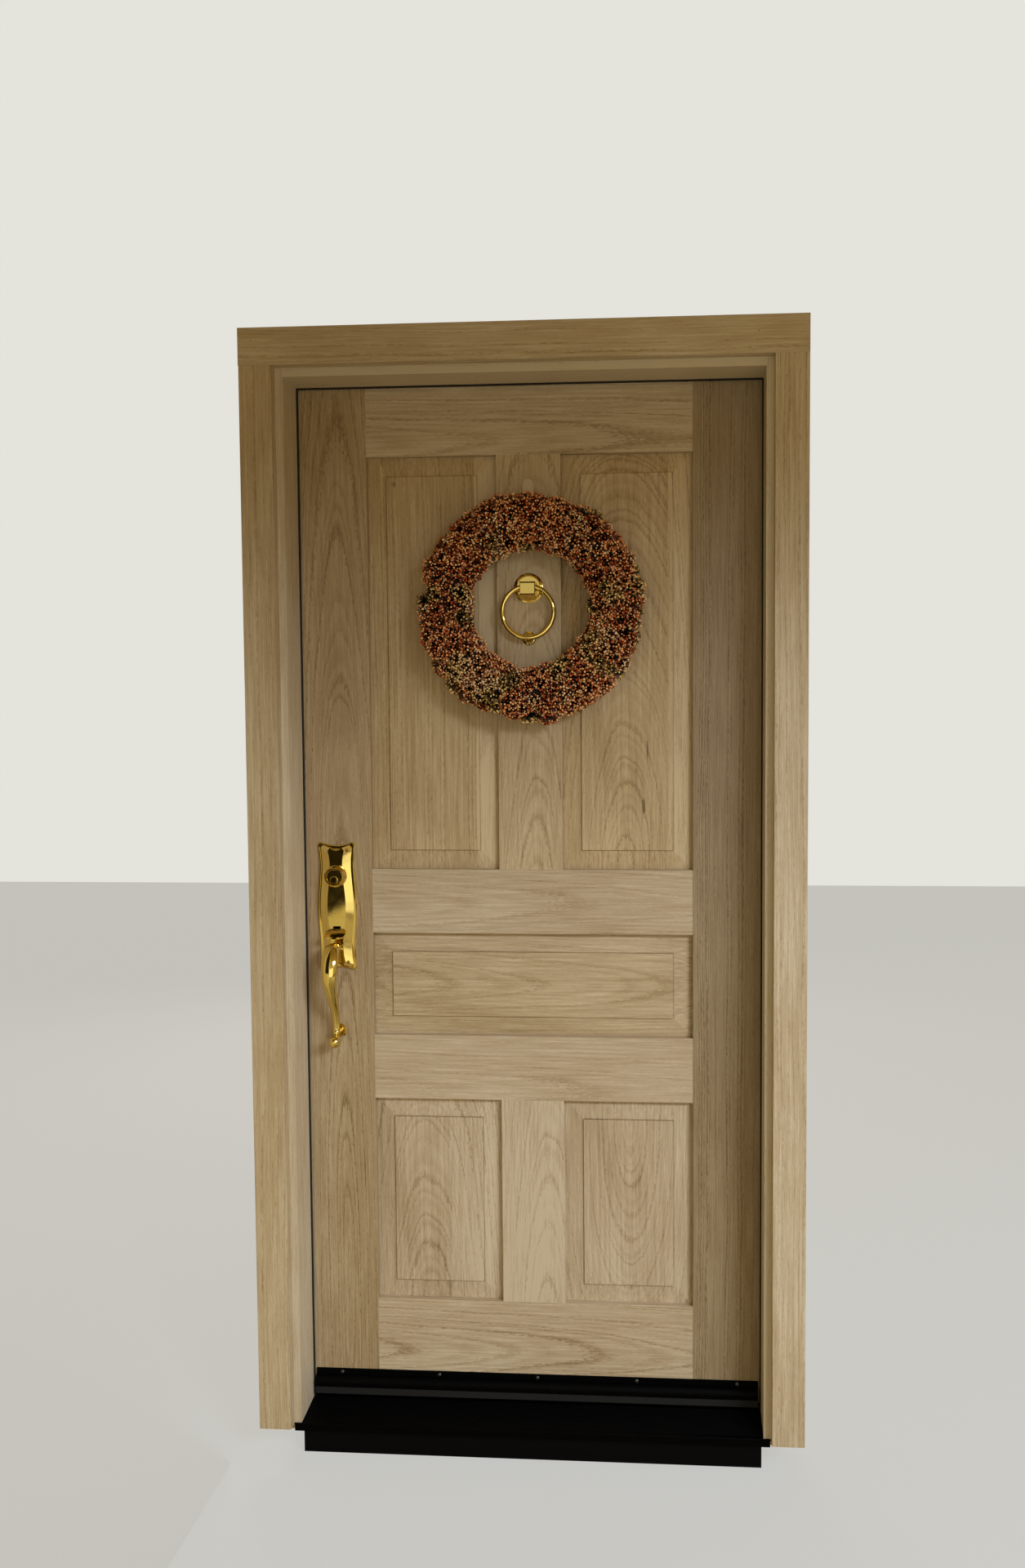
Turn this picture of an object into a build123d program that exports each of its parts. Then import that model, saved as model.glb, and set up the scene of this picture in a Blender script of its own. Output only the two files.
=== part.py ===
# Panelled front door: a five-panel oak leaf hung in its rabbeted jambs, with exterior
# casing, ribbed sill, drip sweep, brass handle set, ring knocker and a hanging berry wreath.
# Millimetres. X to the right seen from the street, Y into the house, Z up.
# The leaf's street face is at Y = 0; the origin is on the underside of the sill, at its middle.

from build123d import *
from math import sin, cos, tan, radians, pi, floor
import os

# Leaf
leaf_width = 908.0
leaf_height = 1993.0
leaf_thickness = 44.5
stile_width = 139.7
top_rail_height = 138.7
lock_rail_height = 126.6
middle_panel_height = 203.2
middle_rail_height = 128.0
lower_panel_height = 407.7
bottom_rail_height = 189.8
mullion_width = 124.7
arris = 0.8

# Panels in their grooves
groove_depth = 12.0
groove_fit = 0.2
tenon_end_gap = 0.3
panel_lip_depth = 15.0
panel_float = 2.0
panel_side_gap = 0.3
field_margin = 37.5
field_depth = 6.0
field_step = 3.0

# Frame
side_gap = 3.0
stop_overlap = 6.4
jamb_thickness = 31.7
jamb_front = 88.5
weatherstrip_gap = 7.0
casing_width = 61.5
head_casing_height = 68.5
casing_thickness = 22.2
head_casing_proud = 1.5
reveal = 14.4
head_reveal = 16.2
casing_bottom = 20.0

# Sill
sill_slope = 5.3
threshold_level = 29.5
leaf_bottom_gap = 3.5
tread_thickness = 3.0
rib_pitch = 5.0
rib_depth = 0.8
nose_length = 4.0
nose_height = 15.0
nose_lip = 1.4
nose_end_gap = 2.0
cap_height = 9.5
cap_front = 2.0
apron_drop = 38.0
apron_thickness = 12.0
apron_setback = 8.0
apron_end_gap = 3.6

# Weatherstrip
strip_proud = 2.6
strip_width = 11.5
kerf_width = 3.0
kerf_setback = 3.2
kerf_depth = 10.0
kerf_fit = 0.1
seal_clearance = 0.3

# Hinges
hinge_height = 101.6
hinge_plate = 2.5
hinge_plate_width = 38.0
hinge_screw_outer = 38.0
hinge_screw_inner = 14.0
hinge_screw_near = 9.0
hinge_screw_far = 21.0
knuckle_radius = 6.35
knuckle_count = 5
knuckle_gap = 0.3
pin_radius = 3.0
pin_fit = 0.05
pin_cap_height = 4.0
pin_offset = 7.0
top_hinge_drop = 178.0
bottom_hinge_rise = 279.0

# Screws
screw_radius = 2.2
screw_head_radius = 4.4
screw_head_depth = 2.3
screw_fit = 0.1
hinge_screw_length = 18.0

# Lock bores and bolts
backset = 70.0
bolt_spacing = 140.0
latch_height = 945.0
cross_bore_radius = 27.0
case_radius = 12.5
case_fit = 0.2
case_reach = 78.0
faceplate_width = 25.4
faceplate_height = 57.0
faceplate_thickness = 2.5
bolt_radius = 11.0
bolt_thickness = 13.0
bolt_fit = 0.3
deadbolt_length = 48.0
latch_length = 40.0
latch_throw = 12.5
strike_thickness = 2.4
strike_width = 28.0
strike_height = 70.0
strike_screw_rise = 26.5
lip_margin = 3.0
lip_overrun = 0.8
lip_reach = 5.0
lip_curl = 2.0
pocket_width = 16.0
pocket_height = 26.0
latch_pocket_depth = 17.0

# Handle set
plate_height = 253.0
plate_corner_half = 37.0
plate_horn_half = 32.5
plate_horn_rise = 6.0
plate_hollow = 6.0
plate_waist_half = 34.8
plate_waist_at = 100.0
plate_belly_half = 38.9
plate_thickness = 5.5
plate_edge_round = 1.8
plate_bead = 3.4
plate_groove_depth = 0.9
plate_rim = 5.6
plate_dome = 4.0
plate_flank = 15.0
plate_end_flank = 5.0
plate_rise_above_latch = 79.5
plate_screw_x = 21.2
plate_screw_z = 111.0
plate_screw_length = 22.0
plate_screw_head = 3.6
plate_screw_sink = 1.8
collar_radius = 21.5
collar_face_radius = 16.5
collar_face = 27.0
collar_body_radius = 15.0
collar_recess = 2.0
collar_band = 7.0
plug_radius = 6.35
plug_head_radius = 7.4
plug_head_proud = 0.6
plug_drop = 6.0
plug_fit = 0.05
keyway_width = 1.8
keyway_height = 9.0
thumb_width = 39.0
thumb_reach = 42.0
thumb_thickness = 4.2
thumb_dish = 2.6
thumb_steps = 8
thumb_corner = 9.0
thumb_pad_start = 15.5
thumb_tail = 22.0
thumb_angle = 22.0
thumb_rise_above_latch = 38.0
thumb_pivot_depth = 4.0
thumb_pivot_radius = 2.5
thumb_stem_width = 14.0
thumb_stem_thickness = 5.0
thumb_slot_above = 2.6
thumb_slot_below = 9.0
ear_thickness = 4.0
grip_top_above_latch = 1.0
grip_drop = 165.0
grip_reach = 70.0
grip_half_width = 16.5
foot_radius = 14.0
foot_thickness = 4.0
foot_post_radius = 5.5
ball_radius = 12.0
ball_drop = 19.0
neck_radius = 5.4
ball_forward = 13.5

# Inside furniture
rose_radius = 32.0
rose_thickness = 9.0
turn_width = 36.0
turn_thickness = 8.0
turn_depth = 18.0
turn_shaft_radius = 5.0
knob_radius = 26.0
knob_neck_radius = 11.0
knob_length = 62.0
knob_half_depth = 16.0
shaft_fit = 0.05

# Knocker
knocker_drop = 393.0
knocker_plate_radius = 28.25
knocker_plate_thickness = 5.0
knocker_block_width = 29.7
knocker_block_height = 24.8
knocker_block_reach = 26.0
knocker_block_tail = 9.0
knocker_pivot_depth = 17.0
ring_radius = 49.3
ring_bar = 4.7
ring_pin_radius = 3.2
ring_fit = 0.05
ring_side_gap = 0.3
stud_radius = 12.9

# Sweep
sweep_end_gap = 12.0
sweep_top = 86.0
flange_height = 12.0
flange_thickness = 3.0
hood_reach = 15.0
hood_height = 20.0
hood_wall = 1.6
hood_skirt = 6.0
hood_steps = 7
fin_thickness = 3.0
fin_clearance = 0.6
sweep_screw_end = 46.8
sweep_screw_count = 5
sweep_screw_shift = 6.0
sweep_screw_radius = 1.9
sweep_screw_depth = 19.0
pan_radius = 3.6
pan_height = 2.1

# Wreath and its hook
wreath_x = 8.0
wreath_drop = 41.5
wreath_radius = 162.5
wreath_half_width = 52.0
wreath_depth = 84.0
wreath_lump = 5.0
wreath_steps = 84
wreath_ring_steps = 20
hook_rise = 249.0
hook_width = 20.4
hook_length = 62.0
hook_thickness = 3.0
hook_reach = 15.0
hook_lip_rise = 14.0
hook_lip_height = 12.0
hook_lip_half = 5.0
hook_room = 0.5

# Worked out from the sizes above
leaf_half = leaf_width / 2
cap_top = threshold_level + cap_height
leaf_bottom = cap_top + leaf_bottom_gap
leaf_top = leaf_bottom + leaf_height
stop_face = leaf_half - stop_overlap
rabbet_face = leaf_half + side_gap
jamb_back = stop_face + jamb_thickness
stop_under = leaf_top - stop_overlap
rabbet_top = leaf_top + side_gap
head_top = stop_under + jamb_thickness
casing_inner = stop_face + reveal
casing_outer = casing_inner + casing_width
casing_top_joint = stop_under + head_reveal
panel_half = mullion_width / 2
stile_edge = leaf_half - stile_width
bottom_rail_top = leaf_bottom + bottom_rail_height
middle_rail_low = bottom_rail_top + lower_panel_height
middle_rail_top = middle_rail_low + middle_rail_height
lock_rail_low = middle_rail_top + middle_panel_height
lock_rail_top = lock_rail_low + lock_rail_height
top_rail_low = leaf_top - top_rail_height
lock_x = -(leaf_half - backset)
bolt_y = leaf_thickness / 2
deadbolt_height = latch_height + bolt_spacing
pin_x = leaf_half + side_gap / 2
pin_y = leaf_thickness + pin_offset
plate_middle = latch_height + plate_rise_above_latch
thumb_z = latch_height + thumb_rise_above_latch
plate_front = -(plate_thickness + plate_dome)
plate_screw_seat = plate_front + plate_screw_sink
case_end = -leaf_half + case_reach
plug_height = deadbolt_height - plug_drop
sweep_half = leaf_half - sweep_end_gap
sweep_screw_pitch = 2 * (sweep_half - sweep_screw_end) / (sweep_screw_count - 1)
knocker_height = leaf_top - knocker_drop
wreath_z = knocker_height - wreath_drop
hook_top = wreath_z + hook_rise

parts = {}


def block(x0, x1, y0, y1, z0, z1):
    """A box between two corners."""
    return Pos((x0 + x1) / 2, (y0 + y1) / 2, (z0 + z1) / 2) * Box(x1 - x0, y1 - y0, z1 - z0)


def prism_x(points, x0, x1):
    """A (Y, Z) outline drawn out along X."""
    outline = make_face(Polyline(*points, close=True))
    return extrude(Plane(origin=(x0, 0, 0), x_dir=(0, 1, 0), z_dir=(1, 0, 0)) * outline, x1 - x0)


def prism_z(points, z0, z1):
    """An (X, Y) outline drawn up along Z."""
    return extrude(Pos(0, 0, z0) * make_face(Polyline(*points, close=True)), z1 - z0)


def street_plane(x, y, z):
    """A plane that faces the street, with X to the right and Z up."""
    return Plane(origin=(x, y, z), x_dir=(1, 0, 0), z_dir=(0, -1, 0))


def house_plane(x, y, z):
    """A plane that faces into the house, with Z up."""
    return Plane(origin=(x, y, z), x_dir=(-1, 0, 0), z_dir=(0, 1, 0))


def rod(x, y0, y1, z, radius):
    """A round bar along Y."""
    return extrude(street_plane(x, y1, z) * Circle(radius), y1 - y0)


def rod_x(x0, x1, y, z, radius):
    """A round bar along X."""
    return extrude(Plane(origin=(x0, y, z), x_dir=(0, 1, 0), z_dir=(1, 0, 0)) * Circle(radius), x1 - x0)


def turned(plane, profile):
    """A (radius, height) outline turned about the plane's normal."""
    outline = make_face(Polyline(*profile, close=True))
    side = Plane(origin=plane.origin, x_dir=plane.x_dir, z_dir=-plane.y_dir)
    return revolve(side * outline, axis=Axis(plane.origin, plane.z_dir), revolution_arc=360)


def screw(plane, length, head_radius=screw_head_radius, fit=0.0, above=0.0):
    """A countersunk screw with its head in the plane, or with a fit its hole, open above if asked."""
    shank = screw_radius + fit
    profile = [(0, -length - fit), (0, above), (head_radius + fit, above)]
    if above:
        profile.append((head_radius + fit, 0))
    return turned(plane, profile + [(shank, -screw_head_depth), (shank, -length - fit)])


def both(pieces):
    """Solids kept apart in one node."""
    return Compound(children=list(pieces))


# Openings in the leaf: name -> (x0, x1, z0, z1)
openings = {
    "upper_left": (-stile_edge, -panel_half, lock_rail_top, top_rail_low),
    "upper_right": (panel_half, stile_edge, lock_rail_top, top_rail_low),
    "middle": (-stile_edge, stile_edge, middle_rail_top, lock_rail_low),
    "lower_left": (-stile_edge, -panel_half, bottom_rail_top, middle_rail_low),
    "lower_right": (panel_half, stile_edge, bottom_rail_top, middle_rail_low),
}


def rectangle_at(x0, x1, z0, z1, y, grow):
    """A rectangle in a plane of constant Y, grown on every side."""
    plane = street_plane((x0 + x1) / 2, y, (z0 + z1) / 2)
    return plane * Rectangle(x1 - x0 + 2 * grow, z1 - z0 + 2 * grow)


def arris_cutters(x0, x1, z0, z1):
    """The two frustums that ease the sharp edges round an opening, one on each face."""
    over = 0.5
    cutters = []
    for face, outward in ((0.0, -1), (leaf_thickness, 1)):
        wide = rectangle_at(x0, x1, z0, z1, face + outward * over, arris + over)
        narrow = rectangle_at(x0, x1, z0, z1, face - outward * (arris + over), -over)
        cutters.append(loft([wide, narrow], ruled=True))
    return cutters


groove_y0 = panel_lip_depth - groove_fit
groove_y1 = leaf_thickness - panel_lip_depth + groove_fit


def upright(x0, x1, z0, z1, left, right, tenons):
    """A stile or mullion, grooved on the named edges, with stub tenons at its ends if asked."""
    piece = block(x0, x1, 0, leaf_thickness, z0, z1)
    if left:
        piece -= block(x0 - 1, x0 + groove_depth, groove_y0, groove_y1, z0 - 1, z1 + 1)
    if right:
        piece -= block(x1 - groove_depth, x1 + 1, groove_y0, groove_y1, z0 - 1, z1 + 1)
    if tenons:
        reach = groove_depth - tenon_end_gap
        piece += block(x0 + groove_depth, x1 - groove_depth, panel_lip_depth,
                       leaf_thickness - panel_lip_depth, z0 - reach, z1 + reach)
    return piece


def crossrail(z0, z1, top, bottom):
    """A rail between the stiles, grooved on the named edges, with stub tenons."""
    piece = block(-stile_edge, stile_edge, 0, leaf_thickness, z0, z1)
    t0, t1 = z0, z1
    if top:
        piece -= block(-stile_edge - 1, stile_edge + 1, groove_y0, groove_y1, z1 - groove_depth, z1 + 1)
        t1 = z1 - groove_depth
    if bottom:
        piece -= block(-stile_edge - 1, stile_edge + 1, groove_y0, groove_y1, z0 - 1, z0 + groove_depth)
        t0 = z0 + groove_depth
    reach = groove_depth - tenon_end_gap
    tenon_y = (panel_lip_depth, leaf_thickness - panel_lip_depth)
    piece += block(-stile_edge - reach, -stile_edge + 1, *tenon_y, t0, t1)
    piece += block(stile_edge - 1, stile_edge + reach, *tenon_y, t0, t1)
    return piece


def raised_panel(x0, x1, z0, z1):
    """A panel fielded on both faces, with a tongue that floats in the groove."""
    tongue = groove_depth - panel_float
    lip = panel_lip_depth
    piece = block(x0 - tongue, x1 + tongue, lip, leaf_thickness - lip, z0 - tongue, z1 + tongue)
    for face, inward in ((0.0, 1), (leaf_thickness, -1)):
        foot = field_depth + field_step
        low = rectangle_at(x0, x1, z0, z1, face + inward * lip, -panel_side_gap)
        high = rectangle_at(x0, x1, z0, z1, face + inward * foot, -field_margin)
        piece += loft([low, high], ruled=True)
        y0, y1 = sorted((face + inward * foot, face + inward * field_depth))
        m = field_margin
        piece += block(x0 + m, x1 - m, y0, y1, z0 + m, z1 - m)
    return piece


# Leaf: stiles, rails, mullions and panels
leaf_frame = {
    "lock_stile": upright(-leaf_half, -stile_edge, leaf_bottom, leaf_top, False, True, False),
    "hinge_stile": upright(stile_edge, leaf_half, leaf_bottom, leaf_top, True, False, False),
    "top_rail": crossrail(top_rail_low, leaf_top, False, True),
    "lock_rail": crossrail(lock_rail_low, lock_rail_top, True, True),
    "middle_rail": crossrail(middle_rail_low, middle_rail_top, True, True),
    "bottom_rail": crossrail(leaf_bottom, bottom_rail_top, True, False),
    "upper_mullion": upright(-panel_half, panel_half, lock_rail_top, top_rail_low, True, True, True),
    "lower_mullion": upright(-panel_half, panel_half, bottom_rail_top, middle_rail_low, True, True, True),
}
arris_on = {
    "lock_stile": ("upper_left", "middle", "lower_left"),
    "hinge_stile": ("upper_right", "middle", "lower_right"),
    "top_rail": ("upper_left", "upper_right"),
    "lock_rail": ("upper_left", "upper_right", "middle"),
    "middle_rail": ("middle", "lower_left", "lower_right"),
    "bottom_rail": ("lower_left", "lower_right"),
    "upper_mullion": ("upper_left", "upper_right"),
    "lower_mullion": ("lower_left", "lower_right"),
}
for name, around in arris_on.items():
    for opening in around:
        for cutter in arris_cutters(*openings[opening]):
            leaf_frame[name] -= cutter
for name, corners in openings.items():
    parts[name + "_panel"] = raised_panel(*corners)


# Frame: jambs, casings and weatherstrip
def jamb_section(side):
    """The (X, Y) outline of a side jamb: a thick stop towards the street, a rabbet for the leaf."""
    stop, rabbet, back = side * stop_face, side * rabbet_face, side * jamb_back
    return [(stop, -jamb_front), (back, -jamb_front), (back, leaf_thickness), (rabbet, leaf_thickness),
            (rabbet, -weatherstrip_gap), (stop, -weatherstrip_gap)]


def tread_level(y):
    """Height of the sloping tread at depth y."""
    return threshold_level + min(y, 0.0) * tan(radians(sill_slope))


def below_tread(y0, y1, x0, x1, clearance=0.0):
    """The space under the sill's top surface, to cut jamb feet to the slope."""
    points = [(y0, -50), (y1, -50), (y1, tread_level(y1) + clearance)]
    if y0 < 0 < y1:
        points.append((0, tread_level(0) + clearance))
    points.append((y0, tread_level(y0) + clearance))
    return prism_x(points, x0, x1)


kerf_near = stop_face + kerf_setback


def side_jamb(side):
    jamb = prism_z(jamb_section(side), 0, head_top)
    x0, x1 = sorted((side * kerf_near, side * (kerf_near + kerf_width)))
    jamb -= block(x0, x1, -weatherstrip_gap - kerf_depth, -weatherstrip_gap + 1, -1,
                  stop_under + kerf_setback + kerf_width)
    x0, x1 = sorted((side * (stop_face - 5), side * (jamb_back + 5)))
    return jamb - below_tread(-jamb_front - 5, leaf_thickness + 5, x0, x1)


head_jamb = block(-stop_face, stop_face, -jamb_front, -weatherstrip_gap, stop_under, head_top)
head_jamb += block(-rabbet_face, rabbet_face, -weatherstrip_gap, leaf_thickness, rabbet_top, head_top)
head_kerf = stop_under + kerf_setback
head_jamb -= block(-stop_face - 1, stop_face + 1, -weatherstrip_gap - kerf_depth, -weatherstrip_gap + 1,
                   head_kerf, head_kerf + kerf_width)
parts["head_jamb"] = head_jamb
hinge_jamb = side_jamb(1)
strike_jamb = side_jamb(-1)


def eased_board(x0, x1, y0, y1, z0, z1, street_edges):
    """A flat board with its street-side long edges eased."""
    board = block(x0, x1, y0, y1, z0, z1)
    picked = board.edges().filter_by(street_edges).group_by(Axis.Y)[0]
    return chamfer(picked, arris)


casing_back = -jamb_front
for name, side in (("left_casing", -1), ("right_casing", 1)):
    x0, x1 = sorted((side * casing_inner, side * casing_outer))
    parts[name] = eased_board(x0, x1, casing_back - casing_thickness, casing_back, casing_bottom,
                              casing_top_joint, Axis.Z)
parts["head_casing"] = eased_board(-casing_outer, casing_outer,
                                   casing_back - casing_thickness - head_casing_proud, casing_back,
                                   casing_top_joint, casing_top_joint + head_casing_height, Axis.X)


def strip_section(stop, sign):
    """Outline of a kerf-in weatherstrip across its run: a soft bead with a barb behind it."""
    inner = stop - strip_proud
    outer = inner + strip_width
    front, back = -seal_clearance, -weatherstrip_gap
    near = stop + kerf_setback + kerf_fit
    far = near + kerf_width - 2 * kerf_fit
    tip = back - kerf_depth + 0.5
    soft = 1.6
    outline = [(inner, back), (inner, front - soft), (inner + soft, front), (outer - soft, front),
               (outer, front - soft), (outer, back), (far, back), (far, tip), (near, tip), (near, back)]
    return [(sign * across, y) for across, y in outline]


strip_top = stop_under - strip_proud + strip_width
for name, side in (("strike_weatherstrip", -1), ("hinge_weatherstrip", 1)):
    strip = prism_z(strip_section(stop_face, side), 0, strip_top)
    strip -= block(-jamb_back, jamb_back, -weatherstrip_gap - kerf_depth - 1, -weatherstrip_gap,
                   stop_under + 2, strip_top + 1)
    parts[name] = strip - below_tread(-jamb_front, leaf_thickness, -rabbet_face, rabbet_face, seal_clearance)
head_run = stop_face - strip_proud
head_strip = prism_x([(y, across) for across, y in strip_section(stop_under, 1)], -head_run, head_run)
parts["head_weatherstrip"] = head_strip


# Sill: ribbed tread, core, cap under the leaf and apron
def tread_outline():
    """(Y, Z) outline of the ribbed aluminium tread with its rolled nose."""
    slope = tan(radians(sill_slope))
    nose_front = -jamb_front - nose_length
    top = [(leaf_thickness, threshold_level), (0, threshold_level)]
    first = -8.0
    count = int(floor((jamb_front + first - 4) / rib_pitch))
    for i in range(count):
        start = first - i * rib_pitch
        for dy, down in ((0, 0), (-0.4, 1), (-rib_pitch / 2, 1), (-rib_pitch / 2 - 0.4, 0)):
            y = start + dy
            top.append((y, threshold_level + y * slope - down * rib_depth))
    low = tread_level(nose_front + 3.0)
    top += [(nose_front + 3.0, low), (nose_front + 2.4, low + nose_lip), (nose_front + 0.6, low + nose_lip),
            (nose_front, low + nose_lip - 0.8), (nose_front, low - nose_height + nose_lip)]
    inner = tread_thickness
    under = [(nose_front + inner, low - nose_height + nose_lip), (nose_front + inner, low - inner),
             (0, threshold_level - inner), (leaf_thickness, threshold_level - inner)]
    return top + under


tread = prism_x(tread_outline(), -jamb_back, jamb_back)
for side in (-1, 1):
    x0, x1 = sorted((side * (casing_inner - nose_end_gap), side * (jamb_back + 1)))
    tread -= block(x0, x1, -jamb_front - nose_length - 1, -jamb_front, -10, threshold_level)
parts["sill_tread"] = tread


def tread_under(y):
    """Height of the tread's underside at depth y."""
    return tread_level(y) - tread_thickness


apron_front = -jamb_front - nose_length + apron_setback
apron_back = apron_front + apron_thickness
core_section = [(apron_back, 0), (leaf_thickness, 0), (leaf_thickness, tread_under(0)), (0, tread_under(0)),
                (apron_back, tread_under(apron_back))]
apron_section = [(apron_front, -apron_drop), (apron_back, -apron_drop), (apron_back, tread_under(apron_back)),
                 (apron_front, tread_under(apron_front))]
parts["sill_core"] = prism_x(core_section, -jamb_back, jamb_back)
parts["sill_apron"] = prism_x(apron_section, -stop_face + apron_end_gap, stop_face - apron_end_gap)
cap = block(-rabbet_face, rabbet_face, cap_front, leaf_thickness, threshold_level, cap_top)
parts["threshold_cap"] = chamfer(cap.edges().filter_by(Axis.X).group_by(Axis.Z)[-1], 1.0)


# Hinges: two plates with interlocking knuckles on a loose pin
hinge_levels = {
    "top": leaf_top - top_hinge_drop - hinge_height / 2,
    "bottom": leaf_bottom + bottom_hinge_rise + hinge_height / 2,
}
hinge_levels["middle"] = (hinge_levels["top"] + hinge_levels["bottom"]) / 2


def pin_bar(z0, z1, radius):
    return Pos(pin_x, pin_y, (z0 + z1) / 2) * Cylinder(radius, z1 - z0)


def hinge_plate_solid(level, face, inward, own_knuckles):
    """One hinge plate with every other knuckle. inward is the way into its timber along X."""
    z0, z1 = level - hinge_height / 2, level + hinge_height / 2
    x0, x1 = sorted((face, face + inward * hinge_plate))
    plate = block(x0, x1, pin_y - hinge_plate_width, pin_y - 1.5, z0, z1)
    step = hinge_height / knuckle_count
    for i in range(knuckle_count):
        low, high = z0 + i * step, z0 + (i + 1) * step
        if i in own_knuckles:
            plate += pin_bar(low + knuckle_gap / 2, high - knuckle_gap / 2, knuckle_radius)
        else:
            plate -= pin_bar(low - knuckle_gap / 2, high + knuckle_gap / 2, knuckle_radius + 0.6)
    return plate - pin_bar(z0 - 1, z1 + 1, pin_radius + pin_fit)


def hinge_screw_places(level):
    """The four screw centres of a hinge plate, in two staggered pairs."""
    for dy, dz in ((hinge_screw_near, hinge_screw_outer), (hinge_screw_far, hinge_screw_inner)):
        for side in (1, -1):
            yield pin_y - hinge_plate_width + dy, level + side * dz


frame_knuckles, leaf_knuckles = (0, 2, 4), (1, 3)
hinge_pins, jamb_screws, leaf_screws = [], [], []
for name, level in hinge_levels.items():
    z0, z1 = level - hinge_height / 2, level + hinge_height / 2
    jamb_plate = hinge_plate_solid(level, rabbet_face, 1, frame_knuckles)
    leaf_plate = hinge_plate_solid(level, leaf_half, -1, leaf_knuckles)
    gain_y = pin_y - hinge_plate_width
    hinge_jamb -= block(rabbet_face - 1, rabbet_face + hinge_plate, gain_y, leaf_thickness + 1, z0, z1)
    leaf_frame["hinge_stile"] -= block(leaf_half - hinge_plate, leaf_half + 1, gain_y, leaf_thickness + 1,
                                       z0, z1)
    for y, z in hinge_screw_places(level):
        into_jamb = Plane(origin=(rabbet_face, y, z), x_dir=(0, 1, 0), z_dir=(-1, 0, 0))
        into_leaf = Plane(origin=(leaf_half, y, z), x_dir=(0, 1, 0), z_dir=(1, 0, 0))
        jamb_screws.append(screw(into_jamb, hinge_screw_length))
        leaf_screws.append(screw(into_leaf, hinge_screw_length))
        hole = screw(into_jamb, hinge_screw_length, fit=screw_fit)
        jamb_plate -= hole
        hinge_jamb -= hole
        hole = screw(into_leaf, hinge_screw_length, fit=screw_fit)
        leaf_plate -= hole
        leaf_frame["hinge_stile"] -= hole
    parts[name + "_hinge_jamb_plate"] = jamb_plate
    parts[name + "_hinge_leaf_plate"] = leaf_plate
    button = Pos(pin_x, pin_y, z1 + 0.1 + pin_cap_height / 2) * Cylinder(knuckle_radius - 1, pin_cap_height)
    button = fillet(button.edges().group_by(Axis.Z)[-1], 1.6)
    hinge_pins.append(pin_bar(z0, z1 + 1, pin_radius) + button)
parts["hinge_pins"] = both(hinge_pins)
parts["hinge_leaf_screws"] = both(leaf_screws)


# Bolts, their cases and the strike plates
def bolt_bar(x0, x1, z, grow):
    """The flat-sided round bar that bolts and their ways share."""
    bar = rod_x(x0, x1, bolt_y, z, bolt_radius + grow)
    half = bolt_thickness / 2 + grow
    return bar & block(x0 - 1, x1 + 1, bolt_y - half, bolt_y + half, z - 20, z + 20)


face_x = -leaf_half
for name, z, length in (("deadbolt", deadbolt_height, deadbolt_length),
                        ("latch", latch_height, latch_length)):
    case = rod_x(face_x + faceplate_thickness, case_end, bolt_y, z, case_radius)
    case += block(face_x, face_x + faceplate_thickness, bolt_y - faceplate_width / 2,
                  bolt_y + faceplate_width / 2, z - faceplate_height / 2, z + faceplate_height / 2)
    case -= bolt_bar(face_x - 1, face_x + length + 2.0, z, bolt_fit)
    bolt = bolt_bar(face_x + 0.3, face_x + length, z, 0)
    stile = leaf_frame["lock_stile"]
    stile -= rod(lock_x, -1, leaf_thickness + 1, z, cross_bore_radius)
    stile -= rod_x(face_x - 1, lock_x, bolt_y, z, case_radius + case_fit)
    stile -= block(face_x - 1, face_x + faceplate_thickness, bolt_y - faceplate_width / 2 - case_fit,
                   bolt_y + faceplate_width / 2 + case_fit, z - faceplate_height / 2 - case_fit,
                   z + faceplate_height / 2 + case_fit)
    leaf_frame["lock_stile"] = stile
    if name == "latch":
        bevel = bolt_radius * 2
        tip = face_x + 0.3
        bolt -= prism_z([(tip - 1, -1), (tip + latch_throw - 1, -1),
                         (tip + latch_throw - 1, bolt_y - bolt_thickness / 2), (tip - 1, bolt_y + 4)],
                        z - bevel, z + bevel)
    parts[name + "_case"] = case
    parts[name + "_bolt"] = bolt


def strike_plate(z, lip):
    """A strike plate flush with the rabbet. The lip leads the latch in from the house side."""
    x0, x1 = -rabbet_face - strike_thickness, -rabbet_face
    plate = block(x0, x1, bolt_y - strike_width / 2, bolt_y + strike_width / 2,
                  z - strike_height / 2, z + strike_height / 2)
    if lip:
        z0, z1 = z - pocket_height / 2 - lip_margin, z + pocket_height / 2 + lip_margin
        edge, end = leaf_thickness + lip_overrun, leaf_thickness + lip_reach
        plate += block(x0, x1, bolt_y, edge, z0, z1)
        plate += prism_z([(x0, edge), (x1, edge), (x1 - lip_curl, end), (x0 - lip_curl, end)], z0, z1)
    return plate


strike_screws = []
for name, z, lip, depth in (("deadbolt", deadbolt_height, False, jamb_thickness),
                            ("latch", latch_height, True, latch_pocket_depth)):
    plate = strike_plate(z, lip)
    pocket = block(-rabbet_face - depth, -rabbet_face + 1, bolt_y - pocket_width / 2,
                   bolt_y + pocket_width / 2, z - pocket_height / 2, z + pocket_height / 2)
    strike_jamb -= plate
    strike_jamb -= pocket
    plate -= pocket
    for dz in (-strike_screw_rise, strike_screw_rise):
        seat = Plane(origin=(-rabbet_face, bolt_y, z + dz), x_dir=(0, 1, 0), z_dir=(1, 0, 0))
        strike_screws.append(screw(seat, hinge_screw_length))
        hole = screw(seat, hinge_screw_length, fit=screw_fit)
        plate -= hole
        strike_jamb -= hole
    parts[name + "_strike"] = plate
parts["jamb_screws"] = both(jamb_screws + strike_screws)
parts["hinge_jamb"] = hinge_jamb
parts["strike_jamb"] = strike_jamb


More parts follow.
